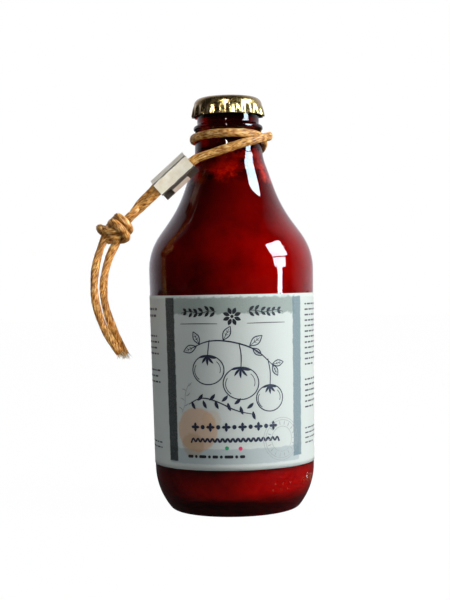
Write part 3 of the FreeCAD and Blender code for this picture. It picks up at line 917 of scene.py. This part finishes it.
def way_along(line):
    """How far along a line each of its points is."""
    return np.concatenate([[0], np.cumsum(np.linalg.norm(np.diff(line, axis=0), axis=1))])


def even(line, count):
    """The same line with evenly spaced points."""
    way = way_along(line)
    want = np.linspace(0, way[-1], count)
    return np.stack([np.interp(want, way, row) for row in line.T], axis=1)


def smooth(corners, step):
    """Evenly spaced points of a rounded line through flat corners."""
    line = np.array(corners, dtype=float)
    for _ in range(3):
        near, far = line[:-1] * 0.75 + line[1:] * 0.25, line[:-1] * 0.25 + line[1:] * 0.75
        line = np.concatenate([line[:1], np.stack([near, far], axis=1).reshape(-1, 2), line[-1:]])
    return even(line, max(4, int(way_along(line)[-1] / step) + 1))


# %% [markdown]
# Garlands, beads and lines of small print follow rules, so loops make them. The branch is drawn
# with a few strokes.

# %% Garlands at the top
dark = Ink()


def garland(ink, start, end, v=60.4, pitch=2.3, leaf_len=2.8, leaf_wide=1.15, stem=0.28, sway=0.5):
    """A level branch with leaves in pairs, which point towards its end."""
    count = int(abs(end - start) / pitch)
    toward = 1 if end > start else -1
    ink.stroke([(start + (end - start) * k / 8, v + sway * sin(k * 1.3)) for k in range(9)], stem)
    for k in range(count):
        u = start + toward * (k + 0.3) * pitch
        at = v + sway * sin((k + 0.3) * 1.3) * 0.6
        lean = 42 + 8 * sin(2.1 * k)
        size = leaf_len * (1 - 0.35 * k / count)
        for up in (1, -1):
            angle = up * lean if toward > 0 else 180 - up * lean
            ink.leaf(u, at, angle, size, leaf_wide, bend=-0.5 * up * toward)


garland(dark, 5.8, 20.6)
garland(dark, -5.8, -20.6)
for turn in range(22, 382, 45):
    dark.leaf(*turned((0, 58.6), 0.9, turn), turn, 2.7, 1.5)
dark.dot(0, 58.6, 1.3)

# %% Branch with three tomatoes
navy = Ink()
pen = 0.42
navy.stroke([(-16.5, 46.5), (-9, 49.8), (0, 49.2), (9, 46.0), (15.8, 39.5)], 0.55)
for u, v, across, stalk in ((-9.6, 38.4, 12.4, (-8.8, 49.8)), (3.0, 33.2, 13.6, (2.4, 48.6)),
                            (14.4, 27.2, 11.2, (13.6, 42.2))):
    top = v + across * 0.43
    navy.ring(u, v, across, pen, squash=0.90)
    navy.ring(u - 0.6, v - 0.3, across * 0.78, pen * 0.7, squash=0.88, start=150, end=232)
    navy.ring(u + 0.4, v + 0.2, across * 0.72, pen * 0.6, squash=0.9, start=-20, end=48)
    navy.stroke([(u, top), (u + 0.3, (top + stalk[1]) / 2), stalk], 0.42, taper=0.8)
    for sepal in (-168, -128, -90, -52, -12):
        navy.leaf(u, top, sepal + 4 * sin(u), across * 0.30, 0.95, bend=0.4)
for u, v, angle, size in ((-14.0, 47.4, 200, 6.2), (-12.8, 48.2, 118, 5.4), (-3.5, 49.6, 62, 6.0),
                          (6.4, 47.2, 38, 6.4), (7.6, 46.4, -40, 4.6), (15.4, 40.0, 8, 5.2),
                          (15.6, 39.8, -62, 4.8)):
    foot, middle = (u, v), turned((u, v), 0.5 * size, angle)
    for side in (90, -90):
        belly = turned(middle, 0.30 * size, angle + side)
        navy.stroke([foot, belly, turned(foot, size, angle)], pen, taper=0.7)
    navy.stroke([foot, turned(foot, 0.8 * size, angle)], pen * 0.6)
    for rib in (0.35, 0.55):
        root = turned(foot, rib * size, angle)
        for lean in (0.7, -0.7):
            tip = turned(root, 0.18 * size, angle + degrees(lean))
            navy.stroke([root, tip], pen * 0.5, step=0.3)
navy.stroke([(-18.0, 25.2), (-12.5, 28.2), (-6.0, 26.4), (1.0, 22.6), (8.0, 21.2)], 0.50)
for k in range(11):
    share = k / 10
    stem = (-16.6 + 24 * share, 26.4 + 2.2 * sin(2.4 * share) - 5.4 * share ** 1.4)
    navy.leaf(*stem, (52 if k % 2 else -62) - 12 * share, 3.4, 1.3, bend=0.5)

# %% Bold rows below
for k in range(11):
    u = -15.4 + 3.1 * k
    if k % 2:
        navy.dot(u, 16.6, 1.7)
    else:
        for way in (0, 90, 180, 270):
            navy.leaf(u, 16.6, way, 1.75, 1.15)
zigzag = [(-17.4 + 35.6 * k / 36, 11.6 + 1.15 * (1 if k % 2 else -1)) for k in range(37)]
navy.stroke(zigzag, 0.85, taper=0.8, step=0.35)
dark.stroke([(-21.0, 55.9), (-14, 56.0), (-5.6, 55.9)], 0.32, taper=0.5)
dark.stroke([(21.4, 55.9), (14, 56.0), (5.6, 55.9)], 0.32, taper=0.5)
u = -19.0
for length in (2.4, 1.1, 3.0, 1.1, 2.2, 1.1, 3.4, 1.1, 2.0):
    dark.dash(u, 5.3, length, 1.15)
    u += length + 0.7

# %% Lines of small print at both sides
def small_print(ink, left, right, top, lines, pitch, thick, seed):
    """Rows of dashes as long as words, which stand for small print without a letter in it."""
    for row in range(lines):
        u, k = left, 0
        short = 0.55 if row == lines - 1 else 0.12 * abs(sin(seed + 1.7 * row))
        end = right - (right - left) * short
        while u < end - 1.0:
            length = min(1.3 + 2.2 * abs(sin(seed * 3.1 + row * 2.3 + k * 1.9)), end - u)
            ink.dash(u, top - row * pitch, length, thick)
            u += length + 0.75
            k += 1


small = Ink()
for seed, block in enumerate((
        (33.6, 57.0, 62.6, 12, 2.15, 0.62), (33.6, 57.0, 33.0, 6, 2.15, 0.62),
        (33.6, 53.0, 14.0, 4, 1.9, 0.5), (-57.0, -33.4, 61.6, 3, 2.6, 0.95),
        (-57.0, -33.4, 51.0, 5, 2.3, 0.70), (-57.0, -33.4, 37.6, 4, 2.3, 0.70),
        (-57.0, -32.6, 9.4, 3, 2.0, 0.55)), start=1):
    small_print(small, *block, seed)

# %% Faint rings and sprig
faint = Ink()
for across in (16.4, 14.6, 9.6):
    faint.ring(19.6, 11.2, across, 0.16)
for turn in range(0, 360, 20):
    faint.leaf(*turned((19.6, 11.2), 5.2, turn), turn, 1.8, 0.35)
faint.stroke([(-21.6, 21.5), (-19.6, 25.0), (-19.8, 29.2), (-17.6, 33.4)], 0.22)
for k in range(6):
    faint.leaf(-20.9 + 0.5 * k, 22.6 + 1.9 * k, (25 if k % 2 else 150) + 4 * k, 2.6, 0.4, bend=0.8)

green, rose = Ink(), Ink()
green.dot(-2.9, 8.6, 1.55)
rose.dot(2.3, 8.4, 1.55)

for ink, name, colour in (
        (dark, "ink_dark", (0.009, 0.010, 0.015)), (navy, "ink_navy", (0.011, 0.015, 0.042)),
        (small, "ink_small", (0.040, 0.046, 0.058)), (faint, "ink_faint", (0.270, 0.290, 0.300)),
        (green, "ink_green", (0.015, 0.260, 0.110)), (rose, "ink_rose", (0.600, 0.020, 0.110))):
    ink.piece(name, colour)

# %% [markdown]
# ## Where the twine runs
# One piece of waxed twine does it all. It goes up through the tag, nearly twice round the neck
# and back down through the tag. There its two strands are tied into one knot, and hang down.
# The model gives its route as corner points, and they are repeated here, apart from those at the
# knot, which is tied below. A NURBS curve along them bends as softly as twine does.

# %% Route of the twine
tight_d = 2.4 * mm
twine_d = 3.0 * mm
twine_gap = 0.1 * mm
hang_turn = -49.0
hang_drop = 12.5 * mm
tag_mid = Vector((-10.8, -3.6, -18.6)) * mm
tag_rise = 41.0
tag_yaw = -6.0
tag_len = 17.0 * mm
strand_side = 0.2 * mm
pair_side = -0.8 * mm
loop_out_run = 1.2 * mm
loop_in_run = 1.6 * mm
route_step = 25.0
knot_mid = Vector((-33.9, -2.2, -39.4)) * mm

# Neck loop: angle round the neck from the front, stand-off, height from the collar (mm).
loop_route = [
    (-33, 2.3, -11.1), (-9, 0.5, -8.9), (15, 0.3, -6.8), (39, 1.5, -4.9), (63, 2.6, -3.3),
    (88, 2.4, -2.2), (113, 1.0, -1.9), (138, 0.2, -2.0), (163, 0.0, -2.2), (188, 0.0, -2.5),
    (213, 0.0, -2.8), (238, 0.0, -3.1), (263, 0.0, -3.2), (288, 0.0, -3.0), (313, 0.0, -2.6),
    (338, 0.0, -2.2), (363, 0.0, -2.1), (388, 0.0, -2.2), (413, 0.0, -2.6), (438, 0.0, -4.1),
    (463, 0.0, -6.1), (488, 0.0, -7.9), (513, 0.0, -9.3), (538, 0.0, -10.4), (563, 0.0, -11.3),
    (588, 0.0, -12.1), (613, 0.0, -12.8), (638, 0.0, -12.9), (655, 0.0, -12.5), (670, 0.1, -11.8),
]
# Strands above and below the knot (mm), from where the tag hangs on the glass.
lead_front = (-22.4, -3.6, -29.8)
lead_back = (-24.2, -1.4, -28.4)
tail_left = [(-41.6, -3.5, -49.5), (-43.2, -3.9, -57.9), (-43.1, -4.2, -66.5), (-41.0, -4.5, -74.9),
             (-37.4, -4.7, -82.3), (-33.5, -4.8, -88.1)]
tail_right = [(-37.0, -2.0, -49.3), (-39.4, -1.8, -57.1), (-39.9, -1.6, -64.9), (-38.5, -1.5, -72.5),
              (-35.6, -1.5, -80.1), (-31.7, -1.5, -88.7)]

fine_outside = outside(4)


def hung(point):
    """A place measured from the glass where the tag hangs, and from the collar's underside."""
    side = radius_at(fine_outside, collar_z - hang_drop)
    return Vector(point) + facing(radians(hang_turn), side, collar_z)


def neck_point(angle, stand_off, height):
    """A corner of the loop's route, so far out that its runs clear the glass."""
    level = collar_z + height * mm
    clear = (tight_d / 2 + twine_gap) / cos(radians(cone_angle))
    radius = radius_at(fine_outside, level) + clear + stand_off * mm
    return facing(radians(angle), radius / cos(radians(route_step / 2)), level)


rise, yaw = radians(tag_rise), radians(tag_yaw)
tag_along = Vector((cos(rise) * cos(yaw), cos(rise) * sin(yaw), sin(rise)))
tag_across = tag_along.cross(Vector((0, -1, 0))).normalized()
tag_out = tag_across.cross(tag_along).normalized()
if tag_out.y > 0:
    tag_across, tag_out = -tag_across, -tag_out


def tag_point(along, across, out):
    """A place given along the tag, across its front and out of its front."""
    return hung(tag_mid) + tag_along * along + tag_across * across + tag_out * out


strand_out = (tight_d + twine_gap) / 2
lead_off = (twine_d + twine_gap) / 2 / sqrt(2)
lead_front_start = tag_point(-tag_len / 2, lead_off + pair_side, lead_off)
lead_back_start = tag_point(-tag_len / 2, -lead_off + pair_side, -lead_off)
loop_points = [tag_point(-tag_len / 2, strand_side, strand_out),
               tag_point(tag_len / 2 + loop_out_run, strand_side, strand_out)]
loop_points += [neck_point(*row) for row in loop_route]
loop_points += [tag_point(tag_len / 2 + loop_in_run, strand_side, -strand_out),
                tag_point(-tag_len / 2, strand_side, -strand_out)]
print("loop has", len(loop_points), "corners; a lead starts at", [round(v / mm, 1) for v in lead_front_start])


# %% Lines read from a NURBS curve
def length_of(line):
    return float(way_along(line)[-1])


def unit(rows):
    """The same directions, each of length 1."""
    return rows / np.linalg.norm(rows, axis=1)[:, None]


def spline_line(corners, step=0.35 * mm):
    """The smooth line of a route, as evenly spaced points."""
    curve = having(bpy.data.curves.new("route", "CURVE"), dimensions="3D", resolution_u=12)
    spline = curve.splines.new("NURBS")
    spline.points.add(len(corners) - 1)
    for point, corner in zip(spline.points, corners):
        point.co = (*corner, 1)
    having(spline, order_u=3, use_endpoint_u=True)
    holder = placed("route", curve)
    seen = holder.evaluated_get(bpy.context.evaluated_depsgraph_get())
    mesh = bpy.data.meshes.new_from_object(seen)
    line = np.array([tuple(v.co) for v in mesh.vertices])
    bpy.data.objects.remove(holder)
    bpy.data.meshes.remove(mesh)
    return even(line, int(length_of(line) / step) + 1)


# %% [markdown]
# ## Tying the knot
# A knot drawn by hand looks wrong from most sides, because the strands lie on each other in a
# way that only pulling them gives. So the knot is really tied: two strands side by side start
# in the shape of a loose overhand knot, which has a formula. Then, again and again, each bead of
# a strand moves towards the middle of its neighbours, which shortens the strand, and beads that
# come nearer than a strand's thickness push each other apart. Nothing is random in it.

# %% A loose overhand knot
def loose_knot(thick, size, reach, beads, lean=25.0):
    """Two strands side by side along a long trefoil, with straight ends along x.

    They lean out of its plane, because a perfectly even start has no one way to tighten."""
    t = np.linspace(-2.0, 2.0, 300)
    middle = np.stack([t ** 3 - 3 * t, t ** 4 - 4 * t ** 2 + 2.0, 4.6 * np.tanh((t ** 5 - 10 * t) / 8)],
                      axis=1)
    share = np.linspace(0, 1, 60)[1:]
    ease = (1 - np.cos(pi * share)) / 2
    end = middle[-1]
    hump = 2.64 * np.sin(0.9 * pi * share) * (1 - share)
    after = np.stack([end[0] + (reach - end[0]) * share, end[1] + hump - end[1] * ease, end[2] * (1 - ease)],
                     axis=1)
    line = even(np.concatenate([after[::-1] * (-1, 1, -1), middle, after]) * size, 400)
    way = unit(np.gradient(line, axis=0) * (1, 1, 0))
    tilt = radians(lean)
    side = np.stack([-way[:, 1], way[:, 0], 0 * way[:, 0]], axis=1) * cos(tilt)
    side = (side + np.array([0, 0, sin(tilt)])) * thick * 0.52
    return [even(line + side, beads), even(line - side, beads)]


# %% Pulling it tight
def tighten(strands, thick, rounds, pull=0.45, hug=0.10, settle=60, pushes=4, even_every=8):
    """Shortens the strands until they lie on each other. The last rounds only push them apart."""
    count = len(strands[0])
    index = np.arange(count * len(strands))
    which = index // count
    for turn in range(rounds + settle):
        if turn < rounds:
            for strand in strands:
                strand[1:-1] += pull * ((strand[:-2] + strand[2:]) / 2 - strand[1:-1])
            apart = strands[1] - strands[0]
            far = np.linalg.norm(apart, axis=1)[:, None]
            nearer = hug * np.maximum(far - thick, 0) * apart / far / 2
            strands[0][1:-1] += nearer[1:-1]
            strands[1][1:-1] -= nearer[1:-1]
        bead = np.linalg.norm(strands[0][count // 2 + 1] - strands[0][count // 2])
        skip = ceil(pi / 2 * thick / bead)
        joined = (which[:, None] == which) & (np.abs(index[:, None] - index) <= skip)
        for _ in range(pushes):
            every = np.concatenate(strands)
            gap = every[None] - every[:, None]
            dist = np.linalg.norm(gap, axis=2) + 1e-12
            hit = (dist < thick) & ~joined
            push = np.where(hit, (thick - dist) / dist / 2, 0)
            share = np.maximum(hit.sum(axis=1), 1) ** 0.7
            every -= (gap * push[:, :, None]).sum(axis=1) / share[:, None]
            for k, strand in enumerate(strands):
                strand[1:-1] = every[k * count + 1:(k + 1) * count - 1]
        if turn % even_every == even_every - 1:
            strands = [even(strand, count) for strand in strands]
    return strands


# %% The knot in its place
knot_turn = 232.0
knot_reach = 7.5 * mm
knot_thick = 3.1 * mm


def knot_lines():
    """The two strands of the tight knot, from the leads' side to the tails' side."""
    tied = tighten(loose_knot(knot_thick, 4.6 * mm, 6.0, 84), knot_thick, 500)
    down = Vector((-0.76, 0, -0.65)).normalized()
    first = Vector((0.729, -0.226, -0.647))
    first = (first - down * first.dot(down)).normalized()
    second = down.cross(first)
    turn = radians(knot_turn)
    across = first * cos(turn) + second * sin(turn)
    through = down.cross(across)
    middle = sum(strand[np.abs(strand[:, 0]) < knot_reach].mean(axis=0) for strand in tied) / 2
    lines = []
    for strand in tied:
        core = strand[np.abs(strand[:, 0]) < knot_reach + 1 * mm] - middle
        lines.append([hung(knot_mid) + down * float(x) + across * float(y) + through * float(z)
                      for x, y, z in core])
    return lines


knot_strands = knot_lines()
for strand in knot_strands:
    cloud = np.array(strand) / mm
    print("strand of the knot:", len(strand), "beads, from", cloud.min(axis=0).round(1), "to",
          cloud.max(axis=0).round(1))


# %% [markdown]
# ## Body of the twine
# The twine is a bundle of waxed threads, a little flattened, that turns slowly along its length.
# Its section is an oval with a groove between each two threads. The section is carried along
# the line without turning by itself, and then given its slow twist.

# %% Twine
def carried(line, first):
    """Directions across a line that don't spin about it."""
    way = unit(np.gradient(line, axis=0))
    side = np.array(first, dtype=float)
    sides = []
    for tangent in way:
        side = side - tangent * side.dot(tangent)
        side /= np.linalg.norm(side)
        sides.append(side.copy())
    return way, np.array(sides)


def twine_mesh(name, line, sides, way, half_out, half_wide, threads, groove, twist=0.0, shift=0.0,
               phase=0.0, around=36):
    """A grooved tube along a line. half_out is its half thickness along the sides' direction."""
    count = len(line)
    other = np.cross(way, sides)
    along = way_along(line) / mm
    angle = np.linspace(0, 2 * pi, around, endpoint=False)
    rings = []
    for i, s in enumerate(along):
        turn = twist * s + phase
        oval = 1 + 0.05 * sin(0.9 * s + phase) * sin(0.37 * s + 1.0)
        lane = angle * threads + 0.25 * np.sin(0.8 * s + 3 * angle)
        dent = 1 - groove * (1 - np.abs(np.sin(lane / 2 + 0.12 * sin(0.5 * s)))) ** 1.5
        x = half_out * oval * np.cos(angle) * dent
        y = half_wide / oval ** 0.5 * np.sin(angle) * dent
        to_side, to_other = (x * cos(turn) - y * sin(turn),
                             x * sin(turn) + y * cos(turn))
        rings.append(line[i] + sides[i] * shift + to_side[:, None] * sides[i] + to_other[:, None] * other[i])
    ends = [rings[0].mean(axis=0)[None], rings[-1].mean(axis=0)[None]]
    low = count * around
    pairs = [(a, (a + 1) % around) for a in range(around)]
    faces = [(i + a, i + b, i + around + b, i + around + a)
             for i in range(0, low - around, around) for a, b in pairs]
    for a, b in pairs:
        faces += [(low, b, a), (low + 1, low - around + a, low - around + b)]
    obj = new_mesh(name, np.concatenate(rings + ends), faces)
    layer = obj.data.uv_layers.new(name="along")
    places = [(i, a) for i in range(count) for a in range(around)] + [(0, 0), (count - 1, 0)]
    for face in obj.data.polygons:
        corners = [places[v] for v in face.vertices]
        wraps = {a for (_, a), v in zip(corners, face.vertices) if v < low} >= {0, around - 1}
        for k, (i, a) in zip(face.loop_indices, corners):
            layer.data[k].uv = (along[i], (around if wraps and a == 0 else a) / around)
    bm = bmesh.new()
    bm.from_mesh(obj.data)
    bmesh.ops.recalc_face_normals(bm, faces=bm.faces)
    bm.to_mesh(obj.data)
    bm.free()
    return obj


# %% Waxed threads
def waxed_twine(name, gloss, *stops):
    """Golden brown threads with a dull waxed gloss. Their grooves are painted darker, which is painted shade,
    and their tops paler, which is a painted highlight.
    """
    t = Finish(name, Roughness=gloss, Specular_IOR_Level=0.4)
    along = t.add("ShaderNodeUVMap", uv_map="along")[0]
    stretched = t.add("ShaderNodeMapping", along, Scale=(0.45, 20.0, 1))[0]
    thread_bump_and_shade = t.noise(1.0, 4.0, 0.62, stretched)
    wear = t.ramp(t.noise(260), (0.32, (0.60, 0.48, 0.34)), (0.62, (1.0, 1.0, 1.0)))
    return t.paint(Base_Color=t.blend(1.0, t.ramp(thread_bump_and_shade, *stops), wear, "MULTIPLY"),
                   Normal=t.bump(thread_bump_and_shade, 0.9, 0.5 * mm))


# The darkest stop of each ramp is painted shade in the grooves, and the palest is a painted highlight on the
# threads' tops. The loose strands' copy is a little darker: painted shade.
tight_twine = waxed_twine("waxed_twine_tight", 0.40, (0.34, (0.120, 0.028, 0.003)),
                          (0.45, (0.600, 0.230, 0.030)), (0.55, (0.980, 0.560, 0.140)),
                          (0.67, (1.000, 0.860, 0.480)))
loose_twine = waxed_twine("waxed_twine_loose", 0.46, (0.36, (0.090, 0.020, 0.002)),
                          (0.45, (0.480, 0.170, 0.024)), (0.54, (0.900, 0.490, 0.120)),
                          (0.66, (1.000, 0.840, 0.460)))

# %% [markdown]
# The tight part round the neck is pressed flat on the glass, so its section is tall and thin.
# Its thin side always looks away from the neck, or out of the tag where it runs through it.

# %% Neck loop
def make_loop():
    line = spline_line(loop_points)
    way = unit(np.gradient(line, axis=0))
    from_tag = np.linalg.norm(line - np.array(hung(tag_mid)), axis=1)
    at_neck = np.clip((from_tag - tag_len * 0.50) / (6 * mm), 0, 1)[:, None]
    at_neck = at_neck * at_neck * (3 - 2 * at_neck)
    sides = unit(line * (1, 1, 0)) * at_neck + np.array(tag_out) * (1 - at_neck)
    sides = unit(sides - way * (sides * way).sum(axis=1)[:, None])
    print("neck loop is", round(length_of(line) / mm, 1), "mm long")
    return twine_mesh("twine_neck_loop", line, sides, way, half_out=1.02 * mm, half_wide=1.72 * mm,
                      threads=10, groove=0.10, shift=-0.25 * mm)


finish_piece(make_loop(), tight_twine, "waxed_twine", "neck_loop")


# %% Two hanging strands
def hanging(name, start, lead, strand, tail, phase, spared=3):
    """One strand: out of the tag, through the knot and down to its end. The knot's last beads
    are spared, so that the strand bends softly into its tail."""
    corners = [start, hung(Vector(lead) * mm), *strand[:-spared], *(hung(Vector(p) * mm) for p in tail)]
    line = spline_line(corners)
    way, sides = carried(line, tag_out)
    obj = twine_mesh(name, line, sides, way, half_out=1.48 * mm, half_wide=1.66 * mm, threads=9,
                     groove=0.16, twist=0.22, phase=phase)
    bends = np.linalg.norm(np.diff(way, axis=0), axis=1)
    tightest = (np.diff(way_along(line)) / bends.clip(1e-9)).min()
    print(name, "is", round(length_of(line) / mm, 1), "mm long, its tightest bend is",
          round(float(tightest) / mm, 2), "mm and it ends at", [round(v / mm, 1) for v in line[-1]])
    return finish_piece(obj, loose_twine, "waxed_twine"), line


front_strand, front_line = hanging("twine_front", lead_front_start, lead_front, knot_strands[0],
                                   tail_right, 0.0)
back_strand, back_line = hanging("twine_back", lead_back_start, lead_back, knot_strands[1],
                                 tail_left, 1.1)
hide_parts("lead_front", "tail_right")
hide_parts("lead_back", "knot", "tail_left")

# %% [markdown]
# The strands were cut with scissors and left bare, so a few pale fibres spread from each end.
# They are thin cones, spaced by the golden angle round the end.

# %% Frayed ends
def frayed_fibre():
    t = Finish("frayed_fibre", Roughness=0.7)
    return t.paint(Base_Color=t.ramp(t.noise(900, 2.0), (0.40, (0.50, 0.32, 0.14)),
                                     (0.60, (0.86, 0.70, 0.44))))


def frayed_end(name, line, fibre, count=22, spread=1.3 * mm, sides=6):
    """Thin cones round the end of a strand, each with a foot, a waist and a tip."""
    end = Vector(line[-1])
    way = (end - Vector(line[-4])).normalized()
    side = way.orthogonal().normalized()
    other = way.cross(side)
    golden = pi * (3 - sqrt(5))

    def around(turn):
        return side * cos(turn) + other * sin(turn)

    points, faces = [], []
    for k in range(count):
        part = sqrt((k + 0.5) / count)
        away = around(k * golden)
        root = end - way * 0.5 * mm + away * spread * part
        reach = (2.0 + 1.3 * sin(5.1 * k)) * mm
        tip = root + (way + away * 0.45 * part + Vector((0, 0, -0.15))).normalized() * reach
        foot, waist, top = (len(points) + sides * j for j in range(3))
        for share, thick in ((0.0, 0.17 * mm), (0.6, 0.11 * mm)):
            middle = root.lerp(tip, share)
            points += [middle + around(2 * pi * j / sides) * thick for j in range(sides)]
        points.append(tip)
        faces.append(tuple(range(waist - 1, foot - 1, -1)))
        for a, b in [(j, (j + 1) % sides) for j in range(sides)]:
            faces += [(foot + a, foot + b, waist + b, waist + a), (waist + a, waist + b, top)]
    return finish_piece(new_mesh(name, points, faces), fibre, "waxed_twine")


fibre = frayed_fibre()
front_fray = frayed_end("frayed_end_front", front_line, fibre)
back_fray = frayed_end("frayed_end_back", back_line, fibre)

# %% [markdown]
# ## Folded metal tag
# The tag is a strip of soft metal folded round the strands. Its shape in the model is right, but
# its edges are as sharp as a knife, and real folds catch the light. So a copy of it is merged,
# its flat faces are joined, and its edges are rounded with a small bevel. Its finish is measured
# along and across the tag, so that painted shade can follow the folds and cover its lower side.

# %% Tag
def scuffed_metal():
    """Cream nickel plate of scuffed tone, with painted shade along its folds and on its lower side."""
    t = Finish("scuffed_metal", Metallic=0.12)

    def measured(axis):
        """Millimetres from the tag's middle along one of its directions."""
        middle = hung(tag_mid).dot(axis)
        way = t.add("ShaderNodeVectorMath", t.where, axis, operation="DOT_PRODUCT")["Value"]
        return t.spread(way, middle - 10 * mm, middle + 10 * mm, -10, 10)

    along, across = measured(tag_along), measured(tag_across)
    stray = t.spread(t.noise(420, 4.0), 0.3, 0.7, -0.16, 0.16)
    # Painted shade: a dark line that wanders along each fold.
    fold = t.maths("ABSOLUTE", t.maths("SUBTRACT", t.maths("ABSOLUTE", across), 2.75))
    painted_fold_shade = t.spread(t.maths("ADD", fold, stray), 0.14, 0.36, 1.0, 0.0)
    # Painted shade on the lower side, beyond its fold, apart from the tab. Both masks darken the plate to
    # near black.
    by_tab = t.spread(t.maths("ABSOLUTE", t.maths("ADD", along, 0.25)), 4.0, 4.2, 1.0, 0.0)
    on_tab = t.maths("MULTIPLY", by_tab, t.spread(across, 3.6, 3.8))
    side = t.maths("MULTIPLY", t.spread(across, 2.7, 2.9), t.maths("SUBTRACT", 1.0, on_tab))
    dark = t.maths("MULTIPLY", t.maths("MAXIMUM", side, painted_fold_shade), 0.93)
    plate = t.ramp(t.noise(320, 4.0), (0.3, (0.86, 0.78, 0.60)), (0.65, (0.99, 0.95, 0.82)))
    scratch = t.noise(1500, 3.0)
    return t.paint(Base_Color=t.blend(dark, plate, (0.035, 0.026, 0.020)),
                   Roughness=t.spread(scratch, 0.3, 0.7, 0.28, 0.50),
                   Normal=t.bump(scratch, 0.15, 0.2 * mm))


def make_tag(rounding=0.28 * mm):
    """A merged copy of the model's tag with rounded edges."""
    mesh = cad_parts["tag_clip"].data.copy()
    bm = bmesh.new()
    bm.from_mesh(mesh)
    bmesh.ops.remove_doubles(bm, verts=bm.verts, dist=0.01 * mm)
    bmesh.ops.dissolve_limit(bm, angle_limit=radians(2), verts=bm.verts, edges=bm.edges)
    bm.to_mesh(mesh)
    bm.free()
    tag = placed("folded_tag", mesh)
    having(tag.modifiers.new("bevel", "BEVEL"), width=rounding, segments=3, limit_method="ANGLE")
    keep_result(tag)
    return tag


finish_piece(make_tag(), scuffed_metal(), "tag_metal", "tag_clip")

# %% [markdown]
# ## Mould marks on the heel
# Glass works mark each mould with a few small raised dots, which a machine reads, and with short
# raised strokes. They are too small for the solids but they catch the light. Python gives the
# places of the marks, and Geometry Nodes put a small ball on each, make the copies real and give
# them the glass.

# %% Marks by nodes
def balls(t, given):
    """Puts a ball on each point."""
    ball = t.add("GeometryNodeMeshIcoSphere", given["Size"], Subdivisions=2)["Mesh"]
    return t.add("GeometryNodeInstanceOnPoints", given["Geometry"], Instance=ball)[0]


balls_tree = geometry_nodes("dots_on_points", balls, "Size")
lowest = min(range(len(fine_outside)), key=lambda i: fine_outside[i][1])
heel_section = fine_outside[lowest:]


def marks(name, places, size):
    """Raised marks at so many degrees to the right of the front and mm up, sunk a little."""
    points = [facing(radians(angle), radius_at(heel_section, height * mm) - 0.35 * size, height * mm)
              for angle, height in places]
    obj = new_mesh(name, points, [])
    apply_nodes(obj, balls_tree, Size=size, Material=glass)
    finish_piece(obj, glass, "amber_glass")


marks("mould_dots", [(28 + 6.5 * k + 1.5 * row, 10.6 + 2.3 * row) for k in range(3) for row in range(2)],
      0.40 * mm)
marks("mould_strokes", [(58 + 3.6 * k, 12.0 + 0.5 * j + 0.8 * (k % 2))
                        for k in range(5) for j in range(4 + k % 3)], 0.50 * mm)

# %% [markdown]
# ## The loose strands
# The two strands below the tag hang freely.

# %% Cords
print("two strands hang freely")

# %% [markdown]
# ## Finish
# The size of the dressed model is printed beside the size of the frame.

# %% Finish
visual_box = [list(corner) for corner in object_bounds()]
for name, box in (("frame", cad_box), ("dressed", visual_box)):
    print(name, [[round(v / mm, 1) for v in corner] for corner in box])
